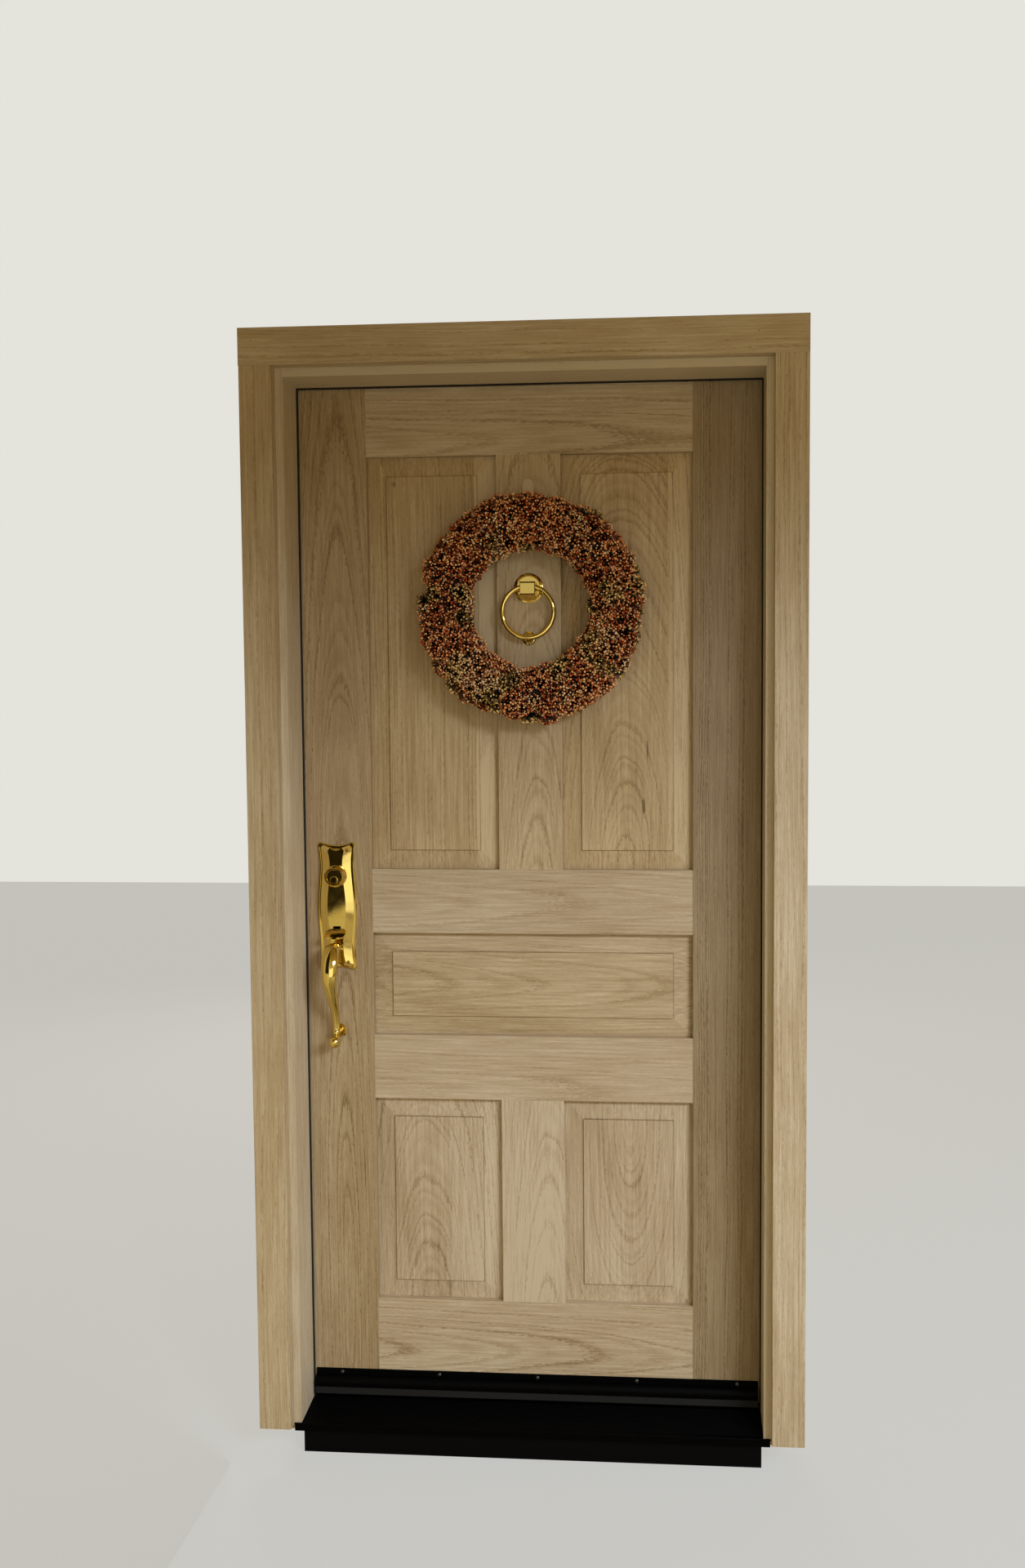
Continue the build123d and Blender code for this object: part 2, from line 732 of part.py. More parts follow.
# Handle set on the street side
def plate_outline(inset, end_inset=None):
    """The waisted outline of the handle plate, with horned corners and hollow ends."""
    top = plate_height / 2 - (inset if end_inset is None else end_inset)
    corner, horn = plate_corner_half - inset, plate_horn_half - inset
    waist, belly = plate_waist_half - inset, plate_belly_half - inset
    shoulder = top - plate_horn_rise
    edges = []
    for s in (1, -1):
        edges.append(ThreePointArc((s * horn, s * top), (0, s * (top - plate_hollow)), (-s * horn, s * top)))
        edges.append(Line((-s * horn, s * top), (-s * corner, s * shoulder)))
        edges.append(Spline((-s * corner, s * shoulder), (-s * waist, s * plate_waist_at), (-s * belly, 0),
                            (-s * waist, -s * plate_waist_at), (-s * corner, -s * shoulder)))
        edges.append(Line((-s * corner, -s * shoulder), (-s * horn, -s * top)))
    return make_face(edges)


def handle_plate():
    """A beaded rim round a groove, and inside it a faceted dome with a flat middle."""
    def layer(depth, inset, end_inset=None):
        return street_plane(lock_x, -depth, plate_middle) * plate_outline(inset, end_inset)

    base = extrude(layer(0, 0), plate_thickness)
    base = chamfer(base.faces().sort_by(Axis.Y)[0].edges(), plate_edge_round)
    groove = plate_thickness - plate_groove_depth
    base -= extrude(layer(groove, plate_bead), plate_thickness)
    dome = loft([layer(groove, plate_rim),
                 layer(-plate_front, plate_rim + plate_flank, plate_rim + plate_end_flank)], ruled=True)
    return base + dome


plate = handle_plate()
plate -= rod(lock_x, -20, 1, deadbolt_height, collar_body_radius + 0.1)
slot_half = thumb_stem_width / 2 + 0.6
plate -= block(lock_x - slot_half, lock_x + slot_half, -20, 1,
               thumb_z - thumb_slot_below, thumb_z + thumb_slot_above)
ear_gap = thumb_stem_width / 2 + 0.4
ear_bore = rod_x(lock_x - 20, lock_x + 20, thumb_pivot_depth, thumb_z, thumb_pivot_radius + pin_fit)
for s in (-1, 1):
    x0, x1 = sorted((lock_x + s * ear_gap, lock_x + s * (ear_gap + ear_thickness)))
    plate += block(x0, x1, -0.5, thumb_pivot_depth + 4.5, thumb_z - 5, thumb_z + 5)
plate -= ear_bore
plate_screws = []
for sx in (-1, 1):
    for sz in (-1, 1):
        seat = street_plane(lock_x + sx * plate_screw_x, plate_screw_seat, plate_middle + sz * plate_screw_z)
        plate_screws.append(screw(seat, plate_screw_length, plate_screw_head))
        hole = screw(seat, plate_screw_length, plate_screw_head, screw_fit, plate_dome)
        plate -= hole
        leaf_frame["lock_stile"] -= hole
parts["handle_plate"] = plate
parts["plate_screws"] = both(plate_screws)

thumb_pocket = block(lock_x - slot_half - 6, lock_x + slot_half + 6, -1, 16, thumb_z - 30, thumb_z + 9)
leaf_frame["lock_stile"] -= thumb_pocket

# Lock cylinder: a tapered collar round a turning plug
collar_seat = street_plane(lock_x, 0, deadbolt_height)
inner_end = bolt_y - case_radius - 0.5
collar_profile = [(0, -inner_end), (collar_body_radius, -inner_end), (collar_body_radius, -plate_front),
                  (collar_radius, -plate_front), (collar_radius, -plate_front + collar_band),
                  (collar_radius - 1.2, -plate_front + collar_band + 1.2),
                  (collar_face_radius + 1.4, collar_face - 2), (collar_face_radius, collar_face),
                  (collar_face_radius - 1.8, collar_face),
                  (collar_face_radius - 2.6, collar_face - collar_recess), (0, collar_face - collar_recess)]
collar = turned(collar_seat, collar_profile)
plug_face = collar_face + plug_head_proud
collar -= rod(lock_x, -collar_face - 1, inner_end + 1, plug_height, plug_radius + plug_fit)
parts["cylinder_collar"] = collar
plug = rod(lock_x, -collar_face + 0.5, inner_end - 0.4, plug_height, plug_radius)
head_seat = collar_face - collar_recess + 0.2
plug += turned(street_plane(lock_x, 0, plug_height),
               [(0, head_seat), (plug_head_radius, head_seat), (plug_head_radius, plug_face - 0.8),
                (plug_head_radius - 0.8, plug_face), (0, plug_face)])
plug -= block(lock_x - keyway_width / 2, lock_x + keyway_width / 2, -plug_face - 1, -8,
              plug_height - keyway_height / 2, plug_height + keyway_height / 2 - 1.5)
parts["key_plug"] = plug


# Thumb piece: a dished pad on a stem that rocks on its pin behind the plate
def thumb_piece():
    """The pad, its stem through the plate, the tail that lifts the latch and the pivot pin, in one."""
    lean = radians(thumb_angle)

    def at(out, up):
        """(Y, Z) of a point measured along and across the leaning stem."""
        y = thumb_pivot_depth - out * cos(lean) - up * sin(lean)
        return y, thumb_z - out * sin(lean) + up * cos(lean)

    half = thumb_stem_thickness / 2
    reach = thumb_reach + thumb_pivot_depth
    start = thumb_pad_start
    stem = prism_x([at(-2, half), at(-2, -half), at(start + 3, -half), at(start + 3, half)],
                   lock_x - thumb_stem_width / 2, lock_x + thumb_stem_width / 2)
    upper, lower = [], []
    for i in range(thumb_steps + 1):
        share = i / thumb_steps
        out = start + (reach - start) * share
        up = half + thumb_dish * ((2 * share - 1) ** 2 - 0.77)
        upper.append(at(out, up))
        lower.insert(0, at(out, up - thumb_thickness))
    pad = prism_x(upper + lower, lock_x - thumb_width / 2, lock_x + thumb_width / 2)
    middle_y, middle_z = at((start + reach) / 2, 0)
    lying = Plane(origin=(lock_x, middle_y, middle_z), x_dir=(1, 0, 0), z_dir=(0, -sin(lean), cos(lean)))
    outline = RectangleRounded(thumb_width, reach - start, thumb_corner)
    pad &= extrude(lying * outline, 12, both=True)
    tail_y, tail_z = thumb_pivot_depth + 4.5, thumb_z - thumb_tail
    tail = prism_x([at(-2, 2), at(4, 2), (tail_y, tail_z), (tail_y + 4, tail_z)], lock_x - 4, lock_x + 4)
    pin_half = ear_gap + ear_thickness
    pin = rod_x(lock_x - pin_half, lock_x + pin_half, thumb_pivot_depth, thumb_z, thumb_pivot_radius)
    return stem + pad + tail + pin


parts["thumb_piece"] = thumb_piece()


# Grip: a lofted bow that leaves the plate, swells for the palm and tapers to its foot
grip_top = latch_height + grip_top_above_latch
grip_end = grip_top - grip_drop
foot_z = grip_end - 5.0


def grip_stations():
    """(depth, height, half width, half thickness) down the bow, from shares of its reach and drop."""
    shares = ((0.42, 0.0, 0.82, 8.0), (0.74, 0.015, 0.95, 8.8), (0.91, 0.12, 1.00, 9.4),
              (0.99, 0.24, 0.94, 9.2), (1.0, 0.34, 0.85, 8.6), (0.89, 0.45, 0.76, 7.8),
              (0.745, 0.56, 0.65, 7.0), (0.58, 0.665, 0.59, 6.4), (0.427, 0.775, 0.49, 6.0),
              (0.353, 0.88, 0.41, 5.8), (0.347, 1.0, 0.39, 5.8))
    stations = [(plate_front, grip_top, grip_half_width * 0.78, 8.0)]
    for depth, drop, width, thick in shares:
        stations.append((-grip_reach * depth, grip_top - grip_drop * drop, grip_half_width * width, thick))
    return stations


def grip_handle():
    """The bow with the post into its foot rose and the ball that ends it."""
    stations = grip_stations()
    sections = []
    for i, (y, z, width, thick) in enumerate(stations):
        before = stations[max(i - 1, 0)]
        after = stations[min(i + 1, len(stations) - 1)]
        run = Vector(0, after[0] - before[0], after[1] - before[1])
        if i == 0:
            run = Vector(0, -1, 0)
        if i == len(stations) - 1:
            run = Vector(0, 0, -1)
        plane = Plane(origin=(lock_x, y, z), x_dir=(1, 0, 0), z_dir=run.normalized())
        sections.append(plane * Ellipse(width, thick))
    bow = loft(sections)
    foot_y = stations[-1][0]
    ball_y, ball_z = foot_y - ball_forward, grip_end - ball_drop
    post = rod(lock_x, foot_y, -foot_thickness, foot_z, foot_post_radius)
    hub = Pos(lock_x, foot_y, foot_z + 2) * Sphere(foot_post_radius + 2.2)
    collar_ends = ((foot_y, foot_z), (ball_y, ball_z + ball_radius * 0.6))
    neck = loft([Plane(origin=(lock_x, y, z), z_dir=(0, 0, -1), x_dir=(1, 0, 0)) * Circle(neck_radius)
                 for y, z in collar_ends])
    ball = Pos(lock_x, ball_y, ball_z) * Sphere(ball_radius)
    return bow + post + hub + neck + ball


parts["grip_handle"] = grip_handle()
foot_seat = street_plane(lock_x, 0, foot_z)
parts["grip_foot"] = turned(foot_seat, [(0, 0), (foot_radius, 0), (foot_radius, 1.4),
                                        (foot_radius - 2.6, foot_thickness), (0, foot_thickness)])


# Inside furniture: turn piece over its rose, knob over its rose
def rose(z):
    """The round plate that covers a bore on the house side."""
    seat = house_plane(lock_x, leaf_thickness, z)
    return turned(seat, [(0, 0), (rose_radius, 0), (rose_radius, 2.5),
                         (rose_radius - 4, rose_thickness - 1.5), (rose_radius - 7, rose_thickness),
                         (0, rose_thickness)])


case_back = bolt_y + case_radius + 0.4
turn_hole = turn_shaft_radius + shaft_fit
parts["turn_rose"] = rose(deadbolt_height) - rod(lock_x, 30, 70, deadbolt_height, turn_hole)
grip_start = leaf_thickness + rose_thickness + 0.4
paddle = block(lock_x - turn_thickness / 2, lock_x + turn_thickness / 2, grip_start, grip_start + turn_depth,
               deadbolt_height - turn_width / 2, deadbolt_height + turn_width / 2)
paddle = fillet(paddle.edges().filter_by(Axis.X).group_by(Axis.Y)[-1], 8)
paddle = chamfer(paddle.edges().filter_by(Axis.Z), 1.5)
parts["turn_piece"] = paddle + rod(lock_x, case_back, grip_start + 1, deadbolt_height, turn_shaft_radius)
parts["knob_rose"] = rose(latch_height) - rod(lock_x, 30, 70, latch_height, knob_neck_radius + shaft_fit)
knob_seat = house_plane(lock_x, leaf_thickness, latch_height)
arc = []
for i in range(-8, 9):
    a = radians(10 * i)
    arc.append((knob_radius * cos(a), knob_length - knob_half_depth + knob_half_depth * sin(a)))
shaft_end = case_back - leaf_thickness
neck_end = knob_length - 2 * knob_half_depth + 1
parts["interior_knob"] = turned(knob_seat, [(0, shaft_end), (knob_neck_radius, shaft_end),
                                            (knob_neck_radius, neck_end)] + arc + [(0, knob_length)])

# Knocker: turned back plate with a square block, ring on its pin, strike stud
mullion_face = street_plane(0, 0, knocker_height)
pr, pt = knocker_plate_radius, knocker_plate_thickness
back_plate = turned(mullion_face, [(0, 0), (pr, 0), (pr, 2), (pr - 2.5, 3.2), (pr - 4, 2.6), (pr - 6, pt),
                                   (0, pt)])
bw, bh = knocker_block_width / 2, knocker_block_height / 2
block_top, block_low = knocker_height + bh - 2, knocker_height - bh - 2
reach = knocker_block_reach
body = prism_x([(-1, block_top), (3 - reach, block_top), (-reach, block_top - 3), (-reach, block_low + 2),
                (2 - reach, block_low), (7 - reach, block_low - 3), (-pt - 3, block_low - knocker_block_tail),
                (-1, block_low - knocker_block_tail)], -bw, bw)
body = chamfer(body.edges().filter_by(Axis.Z), 1.2)
knocker_plate = back_plate + body
pivot_bore = rod_x(-bw - 1, bw + 1, -knocker_pivot_depth, knocker_height, ring_pin_radius + ring_fit)
parts["knocker_plate"] = knocker_plate - pivot_bore
ring_cut = bw + ring_side_gap
ring_z = knocker_height - (ring_radius ** 2 - ring_cut ** 2) ** 0.5
ring = street_plane(0, -knocker_pivot_depth, ring_z) * Torus(ring_radius, ring_bar)
ring -= block(-ring_cut, ring_cut, -40, 10, ring_z, ring_z + 80)
ring += rod_x(-ring_cut - 1.5, ring_cut + 1.5, -knocker_pivot_depth, knocker_height, ring_pin_radius)
parts["knocker_ring"] = ring
stud_height = knocker_pivot_depth - ring_bar - 0.3
stud_face = street_plane(0, 0, ring_z - ring_radius)
r, h = stud_radius, stud_height
parts["knocker_stud"] = turned(stud_face, [(0, 0), (r, 0), (r, 1.8), (r - 1.6, 3.0), (r - 3.0, 3.4),
                                           (r - 4.0, h * 0.62), (r - 6.0, h * 0.86), (r - 8.6, h), (0, h)])


# Drip sweep along the foot of the leaf
def sweep_outline():
    """(Y, Z) outline of the flange and hood."""
    fold = sweep_top - flange_height
    low = fold - hood_height
    spring = low + hood_skirt
    bow, rise = hood_reach - flange_thickness, hood_height - hood_skirt
    outer, inner = [], []
    for i in range(hood_steps + 1):
        a = radians(90 * i / hood_steps)
        outer.append((-flange_thickness - bow * sin(a), spring + rise * cos(a)))
        inner.insert(0, (-flange_thickness - (bow - hood_wall) * sin(a),
                         spring + (rise - hood_wall) * cos(a)))
    lip = -hood_reach + hood_wall
    foot = [(-hood_reach, low), (lip + fin_thickness, low), (lip + fin_thickness, low + 2), (lip, low + 2)]
    return ([(0, sweep_top), (-flange_thickness, sweep_top)] + outer + foot + inner
            + [(0, fold - hood_wall)])


sweep = prism_x(sweep_outline(), -sweep_half, sweep_half)
fin_y = -hood_reach + hood_wall
fin_top = sweep_top - flange_height - hood_height
parts["sweep_fin"] = block(-sweep_half, sweep_half, fin_y, fin_y + fin_thickness,
                           cap_top + fin_clearance, fin_top)
sweep_screw_z = sweep_top - flange_height / 2
sweep_screws = []
for i in range(sweep_screw_count):
    x = sweep_screw_shift + (i - (sweep_screw_count - 1) / 2) * sweep_screw_pitch
    pan = turned(street_plane(x, -flange_thickness, sweep_screw_z),
                 [(0, 0), (pan_radius, 0), (pan_radius - 0.2, 1.2), (pan_radius - 1.4, pan_height),
                  (0, pan_height)])
    sweep_screws.append(pan + rod(x, -flange_thickness, sweep_screw_depth, sweep_screw_z, sweep_screw_radius))
    hole = rod(x, -flange_thickness - 1, sweep_screw_depth + 0.2, sweep_screw_z,
               sweep_screw_radius + screw_fit)
    sweep -= hole
    for name in ("bottom_rail", "lock_stile", "hinge_stile"):
        leaf_frame[name] -= hole
parts["door_sweep"] = sweep
parts["sweep_screws"] = both(sweep_screws)


# Wreath: a lumpy closed ring of seed clusters, and the clear hook that carries it
def wreath_surface(i, j):
    """One point of the ring's skin: i steps round the wreath, j steps round its section."""
    around = 2 * pi * i / wreath_steps
    across = 2 * pi * j / wreath_ring_steps
    lump = wreath_lump * (sin(7 * around + 1.3 * sin(2 * across)) * cos(3 * across + 0.6 * sin(5 * around))
                          + 0.6 * sin(17 * around + 2.0 * across))
    half_depth = wreath_depth / 2
    radial = (wreath_half_width + lump * 0.7) * cos(across)
    deep = (half_depth + lump * 0.5) * sin(across)
    y = min(-half_depth - seal_clearance + deep, -seal_clearance)
    reach = wreath_radius + radial
    return Vector(wreath_x + reach * cos(around), y, wreath_z + reach * sin(around))


def wreath_solid():
    faces = []
    for i in range(wreath_steps):
        for j in range(wreath_ring_steps):
            a, b = wreath_surface(i, j), wreath_surface(i + 1, j)
            c, d = wreath_surface(i + 1, j + 1), wreath_surface(i, j + 1)
            for corners in ((a, b, c), (a, c, d)):
                faces.append(Face(Wire.make_polygon(corners, close=True)))
    return Solid(Shell(faces))


hook_low = hook_top - hook_length
hook_stem = hook_low + hook_lip_rise
hook = block(-hook_width / 2, hook_width / 2, -hook_thickness, 0, hook_low, hook_top)
hook = fillet(hook.edges().filter_by(Axis.Y), hook_width / 2 - 0.5)
hook_tip = hook_stem + hook_lip_height
hook_lip = [(0, hook_stem), (-hook_reach, hook_stem), (-hook_reach, hook_tip), (3 - hook_reach, hook_tip),
            (3 - hook_reach, hook_stem + 4), (0, hook_stem + 4)]
hook += prism_x(hook_lip, -hook_lip_half, hook_lip_half)
parts["wreath_hook"] = hook
wreath = wreath_solid()
across = hook_width / 2 + hook_room
wreath -= block(-across, across, -hook_thickness - hook_room, 1, hook_low - hook_room, hook_top)
across = hook_lip_half + hook_room
wreath -= block(-across, across, -hook_reach - hook_room, 1, hook_stem - hook_room, hook_tip + hook_room)
parts["wreath"] = wreath

parts.update(leaf_frame)

os.makedirs("parts", exist_ok=True)
for name, solid in parts.items():
    export_step(solid, f"parts/{name}.step")
print(len(parts), "nodes written")
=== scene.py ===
# %% [markdown]
# # A panelled oak front door in its frame
# This lesson dresses a finished CAD model of a front door. The solids arrive from model.glb in
# metres, so most of the work is light, camera and materials. Only one thing gets a new shape
# here: the seed wreath, which a solid describes too plainly.

from math import cos, pi, radians, sin

import bmesh
import bpy
from mathutils import Matrix, Vector


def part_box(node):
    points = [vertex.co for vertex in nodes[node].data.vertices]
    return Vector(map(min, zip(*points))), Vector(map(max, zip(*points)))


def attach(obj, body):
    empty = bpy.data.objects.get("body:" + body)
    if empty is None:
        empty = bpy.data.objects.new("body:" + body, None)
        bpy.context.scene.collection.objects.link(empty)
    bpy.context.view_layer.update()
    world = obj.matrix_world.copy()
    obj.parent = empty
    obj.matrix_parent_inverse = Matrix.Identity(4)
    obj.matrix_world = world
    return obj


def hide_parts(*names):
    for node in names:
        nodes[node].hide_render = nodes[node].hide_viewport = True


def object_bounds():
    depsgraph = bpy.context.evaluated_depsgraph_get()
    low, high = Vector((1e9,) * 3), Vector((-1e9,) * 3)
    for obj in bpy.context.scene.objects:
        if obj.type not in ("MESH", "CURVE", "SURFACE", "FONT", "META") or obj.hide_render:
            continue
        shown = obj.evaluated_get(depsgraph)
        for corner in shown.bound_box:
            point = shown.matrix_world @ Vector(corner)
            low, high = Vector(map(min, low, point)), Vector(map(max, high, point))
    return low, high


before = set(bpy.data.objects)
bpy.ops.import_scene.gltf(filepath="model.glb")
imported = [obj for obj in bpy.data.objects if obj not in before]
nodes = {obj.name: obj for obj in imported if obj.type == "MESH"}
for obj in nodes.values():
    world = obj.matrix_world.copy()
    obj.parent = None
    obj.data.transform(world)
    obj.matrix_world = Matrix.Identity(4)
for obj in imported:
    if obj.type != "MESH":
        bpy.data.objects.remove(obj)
cad_low, cad_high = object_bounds()
print("CAD box", [round(v, 3) for v in (*cad_low, *cad_high)], "nodes", len(nodes))

# %% [markdown]
# ## The camera
# The photograph was taken by hand, a little right of the door and at eye height. Lines that are
# parallel on the door meet in the picture, so the camera's place, turn and lens were worked out
# from measured points of the door. The lens is given for the long side of the picture, and a
# small sideways shift is there because the middle of the picture isn't where the lens pointed.

# %% Camera
PHOTO_HEIGHT = 1920
FOCAL_PIXELS = 1517.5
CENTRE_OFFSET_PIXELS = 103.0
SENSOR = 36.0
EYE = Vector((0.2936, -2.3884, 1.4003))
YAW = radians(-3.940)
PITCH = radians(3.236)
ROLL = radians(-0.270)

forward = Vector((sin(YAW) * cos(PITCH), cos(YAW) * cos(PITCH), -sin(PITCH)))
level_right = Vector((cos(YAW), -sin(YAW), 0))
level_up = level_right.cross(forward)
right = cos(ROLL) * level_right + sin(ROLL) * level_up
up = -sin(ROLL) * level_right + cos(ROLL) * level_up

camera_data = bpy.data.cameras.new("camera")
camera_data.sensor_fit = "AUTO"
camera_data.sensor_width = SENSOR
camera_data.lens = FOCAL_PIXELS / PHOTO_HEIGHT * SENSOR
camera_data.shift_x = -CENTRE_OFFSET_PIXELS / PHOTO_HEIGHT
camera = bpy.data.objects.new("camera", camera_data)
bpy.context.scene.collection.objects.link(camera)
turn = Matrix((right, up, -forward)).transposed().to_4x4()
camera.matrix_world = Matrix.Translation(EYE) @ turn
bpy.context.scene.camera = camera
print("lens", round(camera_data.lens, 2), "mm")

# %% [markdown]
# ## Helpers for materials
# Every finish below is a small network of nodes. One function turns a given colour into the
# linear numbers that light is computed in. Another adds a node with its settings and its links in
# one line, which keeps a network readable. The rest name steps that come back often.


# %% Helpers
def colour(code):
    """Linear RGBA of an sRGB hex colour such as B08D5A."""
    channels = [int(code[i:i + 2], 16) / 255 for i in (0, 2, 4)]
    return (*[c / 12.92 if c <= 0.04045 else ((c + 0.055) / 1.055) ** 2.4 for c in channels], 1.0)


def add(tree, kind, inputs=None, **settings):
    """One node. inputs holds values, or sockets of other nodes to link from."""
    node = tree.nodes.new(kind)
    for name, value in settings.items():
        setattr(node, name, value)
    for name, value in (inputs or {}).items():
        if isinstance(value, bpy.types.NodeSocket):
            tree.links.new(value, node.inputs[name])
        else:
            node.inputs[name].default_value = value
    return node


def new_material(name):
    """A material with an empty network, and its output node."""
    material = bpy.data.materials.new(name)
    material.use_nodes = True
    material.node_tree.nodes.clear()
    return material, material.node_tree, add(material.node_tree, "ShaderNodeOutputMaterial")


def surface(tree, output, inputs):
    """Ends a network in the standard surface shader."""
    skin = add(tree, "ShaderNodeBsdfPrincipled", inputs)
    tree.links.new(skin.outputs["BSDF"], output.inputs["Surface"])


def set_stops(ramp, stops):
    """Gives a colour ramp its stops: pairs of place and hex colour."""
    elements = ramp.color_ramp.elements
    while len(elements) < len(stops):
        elements.new(0.5)
    for element, (place, code) in zip(elements, stops):
        element.position = place
        element.color = colour(code)


def calc(tree, operation, *values):
    """The result of one arithmetic step."""
    return add(tree, "ShaderNodeMath", dict(enumerate(values)), operation=operation).outputs[0]


def vector(tree, operation, *values):
    """The result of one arithmetic step on vectors."""
    return add(tree, "ShaderNodeVectorMath", dict(enumerate(values)), operation=operation).outputs[0]


def length(tree, arrow):
    """The length of a vector."""
    return add(tree, "ShaderNodeVectorMath", {0: arrow}, operation="LENGTH").outputs["Value"]


def split(tree, point):
    """The three coordinates of a point."""
    return add(tree, "ShaderNodeSeparateXYZ", {"Vector": point}).outputs


def own_place(tree):
    """The place of each point in the object's own coordinates, in metres."""
    return add(tree, "ShaderNodeTexCoord").outputs["Object"]


def remap(tree, value, low, high, out_low=0.0, out_high=1.0):
    """A value eased from one range to another and held at its ends."""
    ranges = {"Value": value, "From Min": low, "From Max": high, "To Min": out_low, "To Max": out_high}
    return add(tree, "ShaderNodeMapRange", ranges, interpolation_type="SMOOTHSTEP").outputs[0]


def dress(material, *names):
    """Gives CAD nodes a material."""
    for name in names:
        for slot in nodes[name].material_slots:
            slot.material = material


print("helpers ready")

# %% [markdown]
# ## How oak grows
# Oak shows its growth rings. Where a board is sawn through the side of the trunk the rings run
# as straight lines, and where the saw passes near the heart they make nested arches. Both come
# from one idea: the distance of each point from the tree's heart, divided by the ring spacing.
# A heart that lies close behind the face and leans away gives arches, and a heart far to one
# side gives lines. Slow noise bends the rings, and each year gets a strength of its own.

# %% Growth rings
MM = 0.001
SLOW_CELLS = (4.0, 4.0, 1.1)
SLOW_WARP = 26 * MM
MIDDLE_CELLS = (17.0, 17.0, 4.0)
MIDDLE_WARP = 7 * MM
JAG_CELLS = (520.0, 520.0, 75.0)
JAG = 1.25
SEASON_PACE = 0.31
SEASON_SWAY = 3.0
YEAR_PACE = 3.7
LINE_SHARE = 0.62
PORES_TO_LINE = (0.36, 0.64, 0.42, 1.0)
YEAR_TO_STRENGTH = (0.3, 0.7, 0.35, 1.2)


def noise(tree, place, cells, detail=2.0, output="Fac"):
    """Noise with its own number of cells per metre along each axis."""
    stretched = vector(tree, "MULTIPLY", place, cells)
    texture = add(tree, "ShaderNodeTexNoise", {"Vector": stretched, "Scale": 1.0, "Detail": detail})
    return texture.outputs[output]


def line_noise(tree, value, pace, detail):
    """Noise along a single number, for what changes from ring to ring."""
    texture = add(tree, "ShaderNodeTexNoise", {"W": value, "Scale": pace, "Detail": detail},
                  noise_dimensions="1D")
    return texture.outputs["Fac"]


def push(tree, point, cells, warp):
    """How far noise of one size moves a point, in metres."""
    drift = vector(tree, "SUBTRACT", noise(tree, point, cells, 2.0, "Color"), (0.5, 0.5, 0.5))
    return vector(tree, "MULTIPLY", drift, (warp, warp, warp))


def growth_lines(tree, point, pores, ring, lean, heart_depth):
    """How dark the growth lines are at a point that is measured from the heart."""
    bent = vector(tree, "ADD", point, push(tree, point, SLOW_CELLS, SLOW_WARP))
    bent = vector(tree, "ADD", bent, push(tree, point, MIDDLE_CELLS, MIDDLE_WARP))
    x, y, z = split(tree, bent)
    deep = calc(tree, "ADD", y, calc(tree, "MULTIPLY_ADD", z, lean, heart_depth))
    spoke = add(tree, "ShaderNodeCombineXYZ", {"X": x, "Y": deep}).outputs[0]
    rings = calc(tree, "DIVIDE", length(tree, spoke), ring)
    season = line_noise(tree, rings, SEASON_PACE, 2.0)
    uneven = calc(tree, "MULTIPLY_ADD", season, SEASON_SWAY, rings)
    jagged = calc(tree, "MULTIPLY_ADD", noise(tree, point, JAG_CELLS), JAG, uneven)
    line = remap(tree, calc(tree, "FRACT", jagged), 0.0, LINE_SHARE, 1.0, 0.0)
    broken = calc(tree, "MULTIPLY", line, remap(tree, pores, *PORES_TO_LINE))
    year = line_noise(tree, calc(tree, "FLOOR", jagged), YEAR_PACE, 0.0)
    return calc(tree, "MULTIPLY", broken, remap(tree, year, *YEAR_TO_STRENGTH))


print("slow bends of", SLOW_WARP / MM, "mm")

# %% [markdown]
# ## Marks and painted step shadow
# A board is more than its rings. It has a knot or the head of a filled nail here and there. Around
# each panel's raised field a thin dark band is painted shade, for the shadow that the field's step
# casts on the bevel. Both only darken the tone.

# %% Marks and painted step shadow
FIELD_INSET = 48 * MM
# darkness and width of the painted shadow band around each raised field
STEP_SHADOW_DARKNESS = 0.48
STEP_SHADOW_WIDTH = 2.6 * MM
MARK_EDGE = (0.3, 1.2)
NAIL_RADIUS = 1.8 * MM


def nail(across, along, strength):
    """The mark of a nail: place across and along, half width, half length and strength."""
    return (across, along, NAIL_RADIUS, NAIL_RADIUS, strength)


def darken_marks(tree, tone, place, marks):
    """The tone with a soft dark spot at each knot or nail."""
    for x, z, half_width, half_length, strength in marks:
        off = vector(tree, "ADD", place, (-x, 0, -z))
        off = vector(tree, "MULTIPLY", off, (1 / half_width, 0, 1 / half_length))
        tone = calc(tree, "SUBTRACT", tone, remap(tree, length(tree, off), *MARK_EDGE, strength, 0.0))
    return tone


def paint_step_shadow(tree, tone, place, field):
    """The tone with painted shade around a raised field: a thin dark band for the shadow of its step."""
    x, z, half_width, half_length = field
    off = split(tree, vector(tree, "ABSOLUTE", vector(tree, "ADD", place, (-x, 0, -z))))
    beside = calc(tree, "SUBTRACT", off["X"], half_width)
    past = calc(tree, "SUBTRACT", off["Z"], half_length)
    outside = calc(tree, "MAXIMUM", beside, past)
    # painted shade: a dark band just outside the field, for the shadow that its step casts on the bevel
    foot = calc(tree, "MULTIPLY", calc(tree, "GREATER_THAN", outside, 0.0), STEP_SHADOW_DARKNESS)
    painted_shadow = calc(tree, "MULTIPLY", foot, remap(tree, outside, 0.0, STEP_SHADOW_WIDTH, 1.0, 0.0))
    return calc(tree, "SUBTRACT", tone, painted_shadow)


def raised_field(board, flat=False):
    """Middle and half size of a panel's raised field, or nothing for a board that has none."""
    if not board.endswith("panel"):
        return None
    low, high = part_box(board)
    middle = (low + high) / 2
    half = (high - low) / 2 - Vector((FIELD_INSET, 0, FIELD_INSET))
    return (middle.z, middle.x, half.z, half.x) if flat else (middle.x, middle.z, half.x, half.z)


print("raised field of the middle panel", [round(v, 3) for v in raised_field("middle_panel")])
